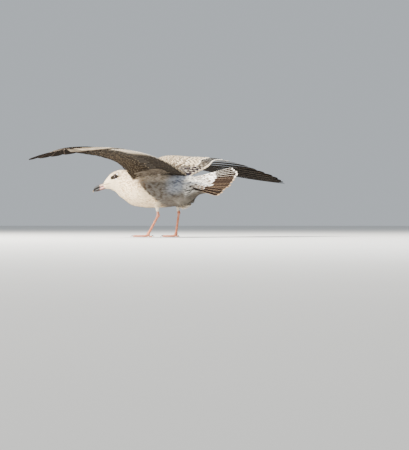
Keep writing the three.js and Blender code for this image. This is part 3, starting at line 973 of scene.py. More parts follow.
def barbs(points, normals, each, wide, lift):
    """Feathers as fans of barbs: (their sheets, the plumage's normal at each point, the feather of each)."""
    owner = np.repeat(np.arange(len(points)), each)
    count = len(owner)
    flow = lie(points, normals)[owner]
    normal, root = normals[owner], points[owner]
    across = np.cross(flow, normal)
    _, long = coat_spacing(points)
    long = (long * DICE.normal(1, 0.12, len(points)).clip(0.7, 1.35))[owner]
    half = long * wide * DICE.normal(1, 0.1, len(points)).clip(0.75, 1.3)[owner]
    fan = np.tile((np.arange(each) + 0.5) / each * 2 - 1, len(points)) + DICE.normal(0, 0.16, count)
    start = 0.30 * (1 - np.abs(fan)).clip(0, 1) * DICE.random(count)
    stop = 1 - 0.16 * fan**2 + DICE.normal(0, 0.07, count)
    depth = coat_depth(points)[owner]
    rise = DICE.normal(lift, 0.5 * lift, len(points)).clip(0.05, 1.5)[owner]
    rise = rise + DICE.uniform(-0.1, 0.1, count)
    tail_fluff = ease(root[:, 2], 120, 104) * ease(-root[:, 1], -40, -60) * ease(-root[:, 1], -100, -84)
    share = start[:, None] + (stop - start)[:, None] * BARB_ROWS
    blade = half * 1.5 / each * DICE.uniform(0.7, 1.3, count)
    aside = (half * fan)[:, None] * (0.35 + 0.65 * share)
    aside = aside[:, :, None] + (blade[:, None] * BARB_WIDE)[:, :, None] * BARB_COLUMNS
    aims = (root[:, None, None] + flow[:, None, None] * (long[:, None] * share)[:, :, None, None]
            + across[:, None, None] * aside[..., None])
    sink = np.minimum(0.8 * depth, 0.2 + 0.05 * long)
    off = (-sink[:, None] * (1 - share.clip(0, 1)) ** 1.5 + rise[:, None] * share**2
           - 0.08 * half[:, None] * fan[:, None] ** 2 * share + 0.2)
    off = off + (tail_fluff * DICE.uniform(0.1, 1.0, len(points))[owner])[:, None] * 3 * share**1.6
    found = [coat_surface.find_nearest(Vector(aim) * MM)[:2] for aim in aims.reshape(-1, 3).tolist()]
    ups = np.array([up for _, up in found])
    spots = np.array([spot for spot, _ in found]) / MM + ups * np.repeat(off.ravel(), 2)[:, None]
    hang = (tail_fluff * DICE.uniform(4, 13, len(points))[owner])[:, None] * share**1.8
    spots = spots - np.outer(np.repeat(hang.ravel(), 2), (0, 0.25, 1))
    # The loose feathers of the vent hang and show both their faces, so they are shaded by their own shape.
    loose = np.repeat(ease(tail_fluff, 0, 0.3), share.shape[1] * 2)[:, None]
    ups = ups * (1 - 0.8 * loose)
    spots, ups = spots.reshape(aims.shape), ups.reshape(count, -1, 3)
    # A feather that would run round a corner, on to a wing or a thigh, is left out.
    flat = (ups * normal[:, None]).sum(2).min(1) > 0
    steps = np.linalg.norm(np.diff(spots.mean(2), axis=1), axis=2).max(1)
    flat &= (steps < 0.6 * long + 1) & (on_wing(spots[:, -1].mean(1)) < 0.5)
    flat |= (tail_fluff > 0) | (root[:, 2] < 106)
    return spots[flat], ups[flat], owner[flat]


def coat_piece(name, slot, inside, each, wide, lift):
    chosen = inside(anatomy(roots)[0])
    points, normals = roots[chosen], root_normals[chosen]
    sheets, ups, owner = barbs(points, normals, each, wide, lift)
    shades = plumage(sheets.mean(2).reshape(-1, 3)).reshape(len(sheets), -1, 3)
    own = DICE.normal(1, 0.06, len(points))[owner] * DICE.normal(1, 0.05, len(owner))
    shades = np.clip(np.repeat(shades, 2, axis=1) * own[:, None, None], 0, 1)
    looks = {"ground": shades, "lay": ups, "seed": DICE.random(len(owner))}
    patches = unwrap_patches(points)[owner]
    return told(flock(name, sheets, looks, patches, BARB_ROWS, BARB_COLUMNS), plume_finish, slot)


low = roots[:, 2] < 97
coat_piece("coat_face", "plumage_head", lambda s: s < 3.2, 7, 0.26, 0.05)
coat_piece("coat_head", "plumage_head", lambda s: (s >= 3.2) & (s < 5), 9, 0.26, 0.08)
coat_piece("coat_neck", "plumage_neck", lambda s: (s >= 5) & (s < 7.5), 11, 0.26, 0.15)
coat_piece("coat_trunk", "plumage_body", lambda s: (s >= 7.5) & (s < 10.5) & ~low, 12, 0.27, 0.25)
coat_piece("coat_rear", "plumage_body", lambda s: (s >= 10.5) & (s < 13.5) & ~low, 12, 0.27, 0.35)
coat_piece("coat_thighs", "plumage_leg", lambda s: (s >= 7.5) & (s < 13.5) & low, 8, 0.24, 0.15)
coat_piece("coat_tail_root", "plumage_tail", lambda s: s >= 13.5, 12, 0.27, 0.3)

# %% [markdown]
# ## The wings
# A wing is built from its quills outwards. Twenty-six long flight feathers make its surface: sixteen on
# the arm and ten on the hand. Each lies on its own line from the front edge to the rear edge, its outer
# edge raised over the next one's inner edge, so that the wing closes like a fan. They are thin closed
# shells with a raised shaft, since light shows both of their faces. Rows of coverts then hide their roots
# above and below, longest at the back.

# %% Feathers on the wing's surface
def shells(flat, normal, lean, along, across, shaft, thick):
    """Thin closed shells round flat sheets, leaned by lean, with a shaft raised on both faces."""
    shaft = shaft * (np.abs(across) < 0.2) * (1 - along[:, None]) ** 0.7
    upper, under = (flat + normal[:, :, None] * (lean + way * thick / 2 + way * shaft * 0.6)[..., None]
                    for way in (1, -1))
    return np.concatenate([upper, under[:, :, ::-1]], 2)


def wing_sheets(side, face, start, stop, inner, outer, along, across, outline, off, tilt,
                bow=0.0, thick=None):
    """Sheets laid on a wing: face is 1 above the wing's flesh, -1 below it and 0 in its middle sheet.

    start and stop give each feather's root and tip as (flight feathers out, share to the rear). inner and
    outer are the widths of its two vanes in millimetres, off its height above the flesh along its length,
    and tilt how far its outer edge is raised. thick makes a closed section with a shaft.
    """
    lines = start[:, None] + (stop - start)[:, None] * along[:, None]
    feather, v = lines[..., 0], lines[..., 1]
    rise = face * (flesh(feather, v) + off) if face else np.zeros_like(v) + off
    middle = wing_point(side, feather, v, rise)
    normal = unit(wing_point(side, feather, v, rise + 1) - middle)
    out = side * unit(np.cross(np.gradient(middle, axis=1), normal))
    middle = middle + out * (bow * 4 * along * (1 - along))[:, None]
    width = np.where(across < 0, inner[..., None], outer[..., None]) * outline[:, None]
    flat = middle[:, :, None] + out[:, :, None] * (across * width)[..., None]
    cup = tilt * across - 0.5 * tilt * across**2
    if thick is None:
        return flat + normal[:, :, None] * (face * cup)[..., None]
    return shells(flat, normal, cup, along, across, 0.9, thick)


def spacing(side, lines):
    """The distance between neighbouring flight feathers along each line, square to it."""
    feather, v = lines[..., 0], lines[..., 1]
    step = wing_point(side, feather + 0.5, v) - wing_point(side, feather - 0.5, v)
    way = unit(np.gradient(wing_point(side, feather, v), axis=1))
    return np.linalg.norm(step - way * (step * way).sum(-1, keepdims=True), axis=-1)


def tip_outline(along, blunt, narrow=0.25):
    """A feather's outline: narrow at its root, full by a fifth of its length, round over its last share."""
    end = np.sqrt(np.maximum(0, 1 - np.maximum(0, (along - 1 + blunt) / blunt) ** 2))
    return np.maximum((narrow + (1 - narrow) * ease(along, 0, 0.22)) * end, 0.05)


# %% Flight feathers
FLIGHT_ROWS = np.array([0, 0.06, 0.14, 0.24, 0.36, 0.48, 0.60, 0.71, 0.80, 0.87, 0.925, 0.965, 0.988, 1.0])
FLIGHT_COLUMNS = np.array([-1, -0.72, -0.38, -0.07, 0.07, 0.5, 1])
VANE_THICK = 0.5  # a flight feather's vane, in millimetres


def grid_patches(count, wide, margin=0.004):
    """Equal cells of the unit square, one for each feather, with a margin round each."""
    high = -(-count // wide)
    cell = np.array([(i % wide / wide, i // wide / high) for i in range(count)])
    size = np.array([1 / wide, 1 / high])
    return np.c_[cell + margin, np.tile(size - 2 * margin, (count, 1))]


def widened(looks, count):
    """Looks in which a number or a colour's code, written once, is repeated for each of count feathers."""
    made = dict(looks)
    for key, value in looks.items():
        if isinstance(value, str):
            made[key] = every(value, count)
        elif np.ndim(value) == 0:
            made[key] = np.full(count, float(value))
    return made


def two_faced(above, below):
    """Point by point looks for the shells of flight feathers: one value above and another beneath."""
    cols = 2 * len(FLIGHT_COLUMNS)
    top = np.arange(len(FLIGHT_ROWS) * cols) % cols < cols // 2
    top = top[:, None] if np.ndim(above) == 2 else top
    return np.where(top, above[:, None], below[:, None])


def flight_feathers(side, first, last, name, slot):
    """One wing's flight feathers from one count to another."""
    count, on_hand = last - first, first >= ARM_COUNT
    line = np.arange(first, last) + 0.5
    hand = line > ARM_COUNT
    start = np.c_[line, np.where(hand, 0.07, 0.15)]
    stop = np.c_[line + 0.5 * ease(line, ARM_COUNT + 2, WING_COUNT - 0.5), np.ones(count)]
    lines = start[:, None] + (stop - start)[:, None] * FLIGHT_ROWS[:, None]
    apart = spacing(side, lines)
    outer = apart * np.where(hand, 0.46, 0.56)[:, None]
    inner = apart * np.where(hand, 1.05, 1.15)[:, None]
    outline = tip_outline(FLIGHT_ROWS, 0.14 if on_hand else 0.075)
    sheets = wing_sheets(side, 0, start, stop, inner, outer, FLIGHT_ROWS, FLIGHT_COLUMNS, outline, 0.0, 0.6,
                         bow=2.5 if on_hand else 0.0, thick=VANE_THICK)
    out = ease(line, ARM_COUNT - 1, ARM_COUNT + 4)
    window = ease(line, 9, 12) * ease(line, 18, 15.5)  # paler beneath where arm and hand meet
    comb = ease(line, 6, 9) * ease(line, 17.5, 16)  # black feathers with broad white sides
    # Painted shade: the innermost feathers are blue-black, fringes dimmed, for the shade between wing and
    # tail.
    inmost_shade = ease(line, 5, 3)
    inner_hand = ease(line, 16, 17) * ease(line, 22.5, 20)
    top = every("2b2623", count)
    for code, share in (("161311", out), ("121013", comb), ("a89a85", 0.75 * inner_hand), ("1b1a20", inmost_shade)):
        top = blend(top, tint(code), share)
    # Painted shade: beneath, the flight feathers are their own dark brown, darkened further for the wing's
    # shade.
    below = blend(every("312d29", count), tint("1d1b1a"), out) * DICE.normal(1, 0.05, (count, 1))
    below = blend(below, tint("d2c4b0"), window * 0.9)
    edge = blend(every("cfbda3", count), tint("f6efe2"), ease(line, 6, 10))
    fringe = np.maximum(0.95 - 0.5 * out, 0.95 * comb) * (1 - 0.6 * inmost_shade)
    looks = {
        "ground": two_faced(top, below), "deep": "211b17",
        "band": 2.0 - 1.12 * (inner_hand > 0.1), "vee": 0.05,
        "mark": two_faced(every("cfc4b3", count), every("6a6159", count)),
        "edge": blend(edge, tint("2e2823"), out * (1 - comb)),
        "quill": two_faced(every("3a322c", count), every("7d7368", count)),
        "barring": two_faced(0.5 * (1 - out) * (1 - comb), np.full(count, 0.05)),
        "fringe": two_faced(fringe, 0.3 - 0.2 * out), "rim": 0.035 - 0.02 * np.maximum(out, comb),
        "side": two_faced(np.maximum(0.20 - 0.18 * out, 0.27 * comb), np.full(count, 0.02)), "notch": 1,
        "bars": np.where(hand, 3.0, 9.0) + DICE.normal(0, 0.3, count),
        "streak": 0, "fleck": 0, "shaft": 0.6, "seed": DICE.random(count),
    }
    piece = flock(name, sheets, widened(looks, count), grid_patches(count, 4), FLIGHT_ROWS, FLIGHT_COLUMNS,
                  shell=True, turned=side < 0)
    return told(piece, flight_paint, slot)


for side in (1, -1):
    flight_feathers(side, 0, ARM_COUNT, f"secondaries_{SIDE[side]}", "plumage_wing")
    flight_feathers(side, ARM_COUNT, WING_COUNT, f"primaries_{SIDE[side]}", "plumage_primaries")

# %% [markdown]
# ## Coverts
# The coverts lie in rows. The rear row's feathers are nearly as long as a finger and barred, and each row
# ahead of it is shorter and plainer, down to the small scales along the front edge. Every row overlaps
# the next one back, so the rows are made from the rear forwards with the same function and different
# numbers. On the hand the rows crowd towards the front edge, where the flight feathers are attached.

# %% Rows of coverts
COVERT_ROWS = np.array([0, 0.25, 0.5, 0.72, 0.88, 0.97, 1.0])
COVERT_COLUMNS = np.array([-1, -0.5, 0, 0.5, 1])


def covert_row(side, face, root, tip, apart, width, lift, looks, shake=0.015):
    """One row of coverts. root, tip and width are (arm, hand) pairs: shares of the chord, millimetres."""
    line = np.arange(0.3 if face > 0 else 1.3, WING_COUNT - 0.4, apart)
    line = line + DICE.normal(0, 0.06 * apart, len(line))
    line = np.clip(line, 0.05, WING_COUNT - 0.05)
    on_hand = ease(line, ARM_COUNT - 2.5, ARM_COUNT + 3)

    def pick(pair):
        """Each feather's value between the arm's and the hand's."""
        return pair[0] + (pair[1] - pair[0]) * on_hand

    start = np.c_[line, pick(root)]
    stop = np.c_[line + 0.12 * apart, pick(tip) + DICE.normal(0, shake, len(line)) * pick((1, 0.5))]
    half = pick(width)[:, None] + np.zeros(len(COVERT_ROWS))
    off = -1.6 * (1 - COVERT_ROWS) ** 1.5 + lift * COVERT_ROWS
    sheets = wing_sheets(side, face, start, stop, half, half, COVERT_ROWS, COVERT_COLUMNS,
                         tip_outline(COVERT_ROWS, 0.38, 0.5), off, 0.4)
    count = len(line)
    made = {"seed": DICE.random(count), "bars": looks["bars"] + DICE.normal(0, 0.15, count)}
    for key in ("barring", "fringe", "fleck", "streak", "shaft", "notch", "rim", "side", "band", "vee"):
        made[key] = np.full(count, float(looks.get(key, 0)))
    for key in ("ground", "mark", "edge", "deep"):
        arm, hand = looks[key]
        made[key] = blend(every(arm, count), tint(hand), on_hand)
    made["ground"] = np.clip(made["ground"] * DICE.normal(1, 0.08, (count, 1)), 0, 1)
    made["quill"] = made["mark"] * 0.8
    # Painted shade: coverts beside the back are blue-black, fringes dimmed, for the shade between wing and
    # tail.
    if face > 0 and tip[0] > 0.45:  # the dark feathers beside the back
        made["ground"] = blend(made["ground"], tint("1b1a20"), ease(line, 5, 3.5))
        made["fringe"] = made["fringe"] * (1 - 0.7 * ease(line, 5, 3.5))
    made["turned"] = np.full(count, side * face < 0)
    return sheets, made, wing_point(side, *start.T, face * (flesh(*start.T) - 1))


def look(ground, mark, edge, bars, **strengths):
    """A row's look; each colour is a pair, for the arm and for the hand."""
    return {"ground": ground, "mark": mark, "edge": edge, "deep": mark, "bars": bars,
            "rim": 0.14, "side": 0.25, "band": 2.0, "vee": 0.16, **strengths}


GREATER = look(("c9b493", "1d1917"), ("2c221a", "151210"), ("ecdfca", "7d6f60"), 5.5,
               vee=0.10, barring=0.95, fringe=0.9, shaft=0.3, rim=0.06)
MEDIAN = look(("bda585", "3a3029"), ("2e231a", "221c18"), ("e8d8bd", "8f7e6a"), 3.2,
              barring=0.95, band=0.82, fleck=0.6, fringe=0.85, shaft=0.2, rim=0.09)
LESSER = look(("b39b7b", "6c5a46"), ("352819", "30261f"), ("dfcdaf", "a08c72"), 2.2,
              barring=0.95, band=0.80, fleck=0.7, fringe=0.75, shaft=0.1, rim=0.11)
MARGIN = look(("b89f7b", "a9967b"), ("4f3d2c", "4a3b2d"), ("d9c7a9", "c9b89c"), 1.6,
              barring=0.6, band=0.84, fleck=0.6, fringe=0.5)
# Painted shade: the rows beneath the wing are their own dark brown, darkened further for the wing's shade.
SHADED_UNDER_GREATER = look(("38332e", "1d1a18"), ("38332d", "1f1c1a"), ("6f675d", "2f2a26"), 1.5,
                     barring=0.3, fringe=0.4, shaft=0.3, rim=0.05, side=0.08)
SHADED_UNDER_MEDIAN = look(("2a231c", "1c1816"), ("241d17", "1c1916"), ("857763", "2d2824"), 1.2,
                    barring=0.3, fleck=0.3, fringe=0.8, shaft=0.2, rim=0.06, side=0.11)
SHADED_UNDER_LESSER = look(("2c241c", "1d1916"), ("241c15", "201b18"), ("7f705c", "332c27"), 1.2,
                    barring=0.3, fleck=0.3, fringe=0.75, shaft=0.1, rim=0.09, side=0.14)
SHADED_UNDER_MARGIN = look(("332b24", "201c18"), ("2e261e", "26211c"), ("6f6253", "352e28"), 1.3,
                    barring=0.3, fleck=0.5, fringe=0.5, rim=0.10, side=0.16)


EDGE_GAP = 0.004  # roots begin no nearer the front edge than this share of the chord


def small_rows(face, tips, long, inwards, less, apart, width, lift, row_look):
    """Rows of small coverts: roots lie long (on the hand less) ahead of the tips, drawn inwards there."""
    roots = [(max(tip - long, EDGE_GAP), max(tip * inwards - less, EDGE_GAP)) for tip in tips]
    return [(face, root, (tip, tip * inwards), apart, width, lift, row_look)
            for root, tip in zip(roots, tips)]


# Each row: face, root (arm, hand), tip (arm, hand), distance in flight feathers, half width (arm, hand),
# lift and look.
COVERTS = [
    (1, (0.40, 0.10), (0.83, 0.44), 0.8, (8.4, 7.0), 1.0, GREATER),
    (1, (0.30, 0.07), (0.62, 0.29), 0.62, (7.0, 5.2), 1.1, MEDIAN),
    (1, (0.24, 0.06), (0.50, 0.25), 0.56, (6.4, 4.8), 1.0, MEDIAN),
    *small_rows(1, (0.41, 0.345, 0.285, 0.23, 0.18, 0.135), 0.14, 0.62, 0.08, 0.46, (5.0, 4.0), 0.8, LESSER),
    *small_rows(1, (0.095, 0.06), 0.10, 0.7, 0.06, 0.42, (4.4, 3.4), 0.6, MARGIN),
    (-1, (0.20, 0.10), (0.56, 0.38), 0.9, (8.5, 7.0), 0.8, SHADED_UNDER_GREATER),
    (-1, (0.17, 0.07), (0.44, 0.28), 0.66, (7.2, 5.2), 0.9, SHADED_UNDER_MEDIAN),
    (-1, (0.14, 0.06), (0.36, 0.23), 0.58, (6.4, 4.8), 0.9, SHADED_UNDER_MEDIAN),
    *small_rows(-1, (0.30, 0.245, 0.195, 0.15), 0.13, 0.62, 0.08, 0.48, (5.2, 4.0), 0.7, SHADED_UNDER_LESSER),
    *small_rows(-1, (0.11, 0.07), 0.10, 0.7, 0.06, 0.42, (4.4, 3.4), 0.5, SHADED_UNDER_MARGIN),
]


def gathered(rows):
    """Several rows' sheets, looks and roots as one."""
    sheets, looks, starts = zip(*rows)
    return (np.concatenate(sheets), {key: np.concatenate([look[key] for look in looks]) for key in looks[0]},
            np.concatenate(starts))


def axillaries(side):
    """The long soft feathers of the armpit, which close the corner between wing and flank."""
    count = 46
    line = DICE.uniform(0.8, 2.6, count)
    root = DICE.uniform(0.06, 0.42, count)
    start = np.c_[line, root]
    stop = np.c_[line * 0.9, np.clip(root + DICE.uniform(0.24, 0.36, count), 0, 0.86)]
    half = np.full((count, len(COVERT_ROWS)), 7.5)
    off = -1.5 * (1 - COVERT_ROWS) ** 1.5 + 2.2 * COVERT_ROWS
    sheets = wing_sheets(side, -1, start, stop, half, half, COVERT_ROWS, COVERT_COLUMNS,
                         tip_outline(COVERT_ROWS, 0.45, 0.5), off, 0.5)
    made = {"bars": 2.2, "fleck": 0.6, "fringe": 0.4, "rim": 0.1, "band": 2.0, "vee": 0.16, "side": 0.2,
            "streak": 0.6, "shaft": 0.2, "notch": 0, "barring": 0.6 * (DICE.random(count) < 0.6),
            "seed": DICE.random(count), "turned": np.full(count, side > 0)}
    tints = {"ground": "62594e", "deep": "463b30", "mark": "382d24", "edge": "7e7367", "quill": "382d24"}
    for key, code in tints.items():
        made[key] = every(code, count) * DICE.normal(1, 0.07, (count, 1))
    return sheets, widened(made, count), wing_point(side, line, root, 1.0 - flesh(line, root))


def coverts(rows, name, slot):
    """Rows of coverts, of a wing or of the tail, as one piece."""
    sheets, looks, starts = gathered(rows)
    turned = looks.pop("turned")
    piece = flock(name, sheets, looks, unwrap_patches(starts), COVERT_ROWS, COVERT_COLUMNS, turned=turned)
    return told(piece, feather_paint, slot)


for side in (1, -1):
    rows = [covert_row(side, *row) for row in COVERTS]
    coverts([*rows, axillaries(side)], f"coverts_{SIDE[side]}", "plumage_wing")

# %% [markdown]
# ## The tail
# Twelve tail feathers spread like a hand of cards, the middle pair on top. They are made as the flight
# feathers are, on the fan's own plane, white at the root and barred darker towards a dark band with pale
# tips. Rows of soft coverts hide their roots above and below.

# %% Tail feathers
TAIL_COLUMNS = np.array([-1, -0.5, -0.08, 0.08, 0.5, 1])
COVERT_LONG = 0.28  # a tail covert's length, as a share of the tail's


def fan_sheets(shares, start, stop, width, along, across, outline, off, tilt, thick=None):
    """Sheets on the tail's fan at shares of its spread, from v = start to stop, off above its middle."""
    share = shares[:, None] + 0 * along
    v = start[:, None] + (stop - start)[:, None] * along
    middle = tail_point(share, v, off)
    normal = unit(tail_point(share, v, off + 1) - middle)
    out = unit(np.cross(np.gradient(middle, axis=1), normal))
    flat = middle[:, :, None] + out[:, :, None] * (across * (width[:, None] * outline)[..., None])[..., None]
    lean = np.sign(shares - 0.5)[:, None, None] * tilt * across
    if thick is None:
        return flat + normal[:, :, None] * lean[..., None]
    return shells(flat, normal, lean, along, across, 0.8, thick)


def tail_feathers():
    count = TAIL["count"]
    shares = (np.arange(count) + 0.5) / count
    centre = 1 - np.abs(2 * shares - 1)
    reach = 1 + DICE.uniform(-0.035, 0.02, count)
    lean = shares + DICE.normal(0, 0.008, count)
    outline = tip_outline(FLIGHT_ROWS, 0.13)
    sheets = fan_sheets(lean, np.full(count, 0.02), reach, np.full(count, 8.6), FLIGHT_ROWS, TAIL_COLUMNS,
                        outline, (centre * 1.2)[:, None], 0.9, thick=VANE_THICK)
    left, outer_left = ease(shares, 0.3, 0.5), ease(shares, 0.60, 0.9)
    looks = {
        "ground": "fbf7ef", "deep": blend(every("15110f", count), tint("231b16"), left * (1 - outer_left)),
        "mark": "4d4137", "edge": blend(every("f1e9dc", count), tint("a38a70"), left), "quill": "4b3f36",
        "band": 0.50 - 0.36 * outer_left + DICE.uniform(-0.04, 0.04, count),
        "barring": 0.8 - 0.5 * outer_left, "bars": 12 + DICE.normal(0, 0.4, count), "vee": 0.05,
        "fringe": 0.9, "rim": 0.03 + 0.01 * left, "side": 0.13 - 0.08 * left, "notch": 0.4,
        "streak": 0, "fleck": 0, "shaft": 0.6, "seed": DICE.random(count),
    }
    piece = flock("tail_feathers", sheets, widened(looks, count), grid_patches(count, 4), FLIGHT_ROWS,
                  TAIL_COLUMNS, shell=True)
    return told(piece, flight_paint, "plumage_tail")


def tail_covert_row(face, row, tip):
    """One row of the tail's soft coverts, above it with face 1 and below it with face -1."""
    shares = np.arange(0.05, 0.96, 0.085 - 0.008 * row) + DICE.normal(0, 0.008, 1)
    count, left = len(shares), ease(shares, 0.70, 0.84)
    v = COVERT_ROWS * COVERT_LONG + tip - COVERT_LONG
    off = face * (3.0 * (1 - v) ** 2 + 0.9 - 1.6 * (1 - COVERT_ROWS) + 0.25 * row)
    stop = tip + DICE.normal(0, 0.02, count)
    sheets = fan_sheets(shares, stop - COVERT_LONG, stop, np.full(count, 6.2), COVERT_ROWS, COVERT_COLUMNS,
                        tip_outline(COVERT_ROWS, 0.4, 0.5), off, 0.3)
    white = every("fbf7ef", count) * DICE.normal(0.90, 0.03, (count, 1))
    looks = {
        "ground": blend(white, tint("2b2725"), left * (face > 0)), "mark": "5f4d3c", "edge": "fbf7ef",
        "bars": 2.2 + DICE.normal(0, 0.2, count), "barring": 0.85 * (DICE.random(count) < 0.75),
        "fringe": 0.7 - 0.4 * left, "streak": 0, "fleck": 0, "shaft": 0.1, "seed": DICE.random(count),
        "rim": 0.12, "side": 0.2, "vee": 0.2, "band": np.where(DICE.random(count) < 0.9, 0.62, 2.0),
        "turned": np.full(count, face < 0), "deep": "4f4033", "notch": 0, "quill": "b8ab9a",
    }
    return sheets, widened(looks, count), tail_point(shares, stop - COVERT_LONG, face * 2.0)


tail_feathers()
COVERT_TIPS = {1: (0.44, 0.36, 0.28, 0.2), -1: (0.46, 0.37, 0.28, 0.19)}  # shares of the tail, row by row
tail_rows = [tail_covert_row(face, row, tip) for face in (1, -1) for row, tip in enumerate(COVERT_TIPS[face])]
coverts(tail_rows, "tail_coverts", "plumage_tail")

# %% [markdown]
# ## The bill
# A gull's bill is a deep wedge with a hooked tip, an angle on its lower half called the gonys, and a slit
# of a nostril half way along. Each half is one tube whose section changes from row to row. The ridge is
# rounded, the cutting edges are sharp, and the upper half overlaps the lower. The young bird's bill is
# dull pink at the root and black beyond it, with a horn-coloured point.

# %% Two halves of the bill
L, R, H = BILL["length"], BILL["ridge"], BILL["half"]
G, D = BILL["gonys"], BILL["depth"]
# Each row: how far ahead, the ridge's height, the cutting edge's height, half the width.
UPPER = np.array([
    (-7, R - 1.2, 0.2, H), (0.1 * L, R - 0.4, 0.2, H * 0.95), (0.2 * L, R - 0.1, 0.3, H * 0.88),
    (0.4 * L, R, 0.3, H * 0.74), (0.6 * L, R - 0.7, -0.3, H * 0.6), (0.76 * L, R - 2.7, -1.1, H * 0.5),
    (0.88 * L, R - 6.8, -2.7, H * 0.38), (0.96 * L, R - 11.2, -4.6, H * 0.24), (L, R - 13.8, -5.6, H * 0.1),
])
LOWER = np.array([
    (-7, 1.6, -D - 0.1, H * 0.9), (G * 0.25, 1.6, -D, H * 0.84), (G * 0.5, 1.5, -D + 0.2, H * 0.74),
    (G, 0.9, -D + 0.5, H * 0.58), (G + 4, 0.4, -D + 1.0, H * 0.52), (G + 8, -0.6, -D + 2.0, H * 0.42),
    (G + 11, -1.6, -D + 3.0, H * 0.32), (G + 14, -3.2, -D + 4.2, H * 0.18),
])


def bill_half(name, rows, upper):
    line = curve(rows)

    def spot(turn, share):
        ahead, high, low, half = line(share).T
        angle = turn * CIRCLE
        rise, out = np.sin(angle), np.cos(angle)
        # The side away from the cutting edge is round, and the edge itself is drawn in to a blade.
        round_side = rise if upper else -rise
        height = np.where(round_side > 0, np.abs(rise) ** 0.85, np.abs(rise) ** 1.6)
        ridge, blade = (high, low) if upper else (low, high)
        middle = blade + (ridge - blade) * 0.42
        y = middle + (np.where(round_side > 0, ridge, blade) - middle) * height
        x = half * out * np.where(round_side < 0, 0.92 + 0.08 * np.abs(out), 1)
        x = x * (1 - 0.18 * np.maximum(round_side, 0))
        groove = np.exp(-((ahead - 14) / 6.5) ** 2 - ((y - 5.0) / 0.75) ** 2) if upper else 0
        x = x - np.sign(out) * groove * 1.5
        return from_head(np.stack([x, y, ahead], 1))

    piece = tube(name, 56, 90, spot)
    local = to_head(mesh_points(piece) / MM)
    for title, values in (("ahead", local[:, 2]), ("high", local[:, 1]), ("aside", np.abs(local[:, 0]))):
        set_look(piece, title, values)
    return piece


def bill_paint():
    paint = Paint("horn of the bill")
    ahead, high, aside = map(paint.number, ("ahead", "high", "aside"))
    cloud = paint.noise(160, 3.0)
    front = ahead + (cloud - 0.5) * 6 - (high + 6).ease(4, 0) * 2
    colour = paint.mix(high.ease(4.5, 1.5), tint("b39a86"), tint("c09088"))
    colour = paint.mix(high.ease(6.0, 8.6) * 0.85, colour, tint("4a2f28"))
    colour = paint.mix(front.ease(11, 17), colour, tint("0c0a0a"))
    colour = paint.mix(high.ease(-4.5, -7.0) * 0.9, colour, tint("35201c"))
    slit = (high + 0.2).size().ease(1.1, 0.4) * ahead.ease(-1, 8)
    colour = paint.mix(slit * 0.85, colour, tint("160e0c"))
    colour = paint.mix((ahead + (cloud - 0.5) * 3).ease(39.0, 41.0) * 0.9, colour, tint("a58352"))
    nostril = (((ahead - 14) / 6.0).power(2.0) + ((high - 5.0) / 0.8).power(2.0)).ease(1.1, 0.5)
    colour = paint.mix(nostril, colour, tint("120d0c"))
    colour = paint.mix(aside.ease(4.5, 7.0) * ahead.ease(4, -2) * 0.4, colour, tint("6a5550"))
    long_way = paint.node("ShaderNodeMapping", None, Vector=paint.place(), Scale=(1, 0.35, 1))
    grain = paint.noise(900, 3.0, long_way)
    return paint.finish(colour, 0.5 + grain * 0.2, paint.bump(grain, 0.0002, 0.4), Specular_IOR_Level=0.35)


horn = bill_paint()
told(bill_half("bill_top", UPPER, True), horn, "bill_dark", "bill_upper")
told(bill_half("bill_under", LOWER, False), horn, "bill_pink", "bill_lower")

# %% [markdown]
# ## The eyes
# The eyeball sits deep in the head, so that a disc eleven millimetres wide shows. It has a clear dome
# over a very dark brown iris. A ring of bare skin, the lids, closes the gap between ball and feathers: a
# soft ring lying on the ball, drawn out a little fore and aft, heavier above than below, with a fold for
# the upper lid.

# %% Eyeballs and lids
OPENING = 5.3  # half the width of the part of the eye that shows


def eye_axes(side):
    """An eye's middle and its outward, upward and forward ways; outward is square to the cheek round it."""
    aim = unit(from_head((side * 1.0, 0.12, 0.10)) - HEAD_AT)
    spot, normal, _, _ = coat_surface.ray_cast(Vector(eye_at[side]) * MM, Vector(aim))
    outward = unit(aim * 0.25 + np.array(normal) * 0.75)
    forward = unit(from_head((0, 0, 1.0)) - HEAD_AT)
    forward = unit(forward - outward * (forward @ outward))
    # The lids' ring is level with the feathers, so the ball lies as deep below the cheek as its opening asks.
    middle = np.array(spot) / MM - outward * (math.sqrt(EYE["radius"] ** 2 - OPENING**2) - 0.1)
    return middle, outward, unit(np.cross(forward, outward)) * side, forward


def eyeball(side):
    middle, outward, upward, forward = eye_axes(side)
    add = bpy.ops.mesh.primitive_uv_sphere_add
    piece = added(add, f"eyeball_{SIDE[side]}", segments=48, ring_count=32, radius=1)
    ball = mesh_points(piece)
    rim = np.hypot(ball[:, 0], ball[:, 1])
    dome = np.where(ball[:, 2] > 0, np.exp(-(rim / 0.42) ** 2) * 0.045, 0)
    spots = ball * (EYE["radius"] - 0.15) * (1 + dome)[:, None]
    ahead, up, out = (spots[:, i:i + 1] for i in range(3))
    set_points(piece, (middle + ahead * forward + up * upward + out * outward) * MM)
    set_look(piece, "rim", np.where(ball[:, 2] > 0, rim, 1.5))
    return faced(piece)


def eye_paint():
    paint = Paint("eye")
    rim = paint.number("rim")
    rays = paint.noise(700, 3.0)
    iris = paint.mix(rays.ease(0.35, 0.7), tint("1d110a"), tint("38231a"))
    colour = paint.mix((rim + (rays - 0.5) * 0.02).ease(0.27, 0.31), tint("050404"), iris)
    colour = paint.mix(rim.ease(0.50, 0.60), colour, tint("120b08"))
    return paint.finish(colour, 0.09 + rays * 0.04, Coat_Weight=0.12, Coat_Roughness=0.03,
                        Specular_IOR_Level=0.35)


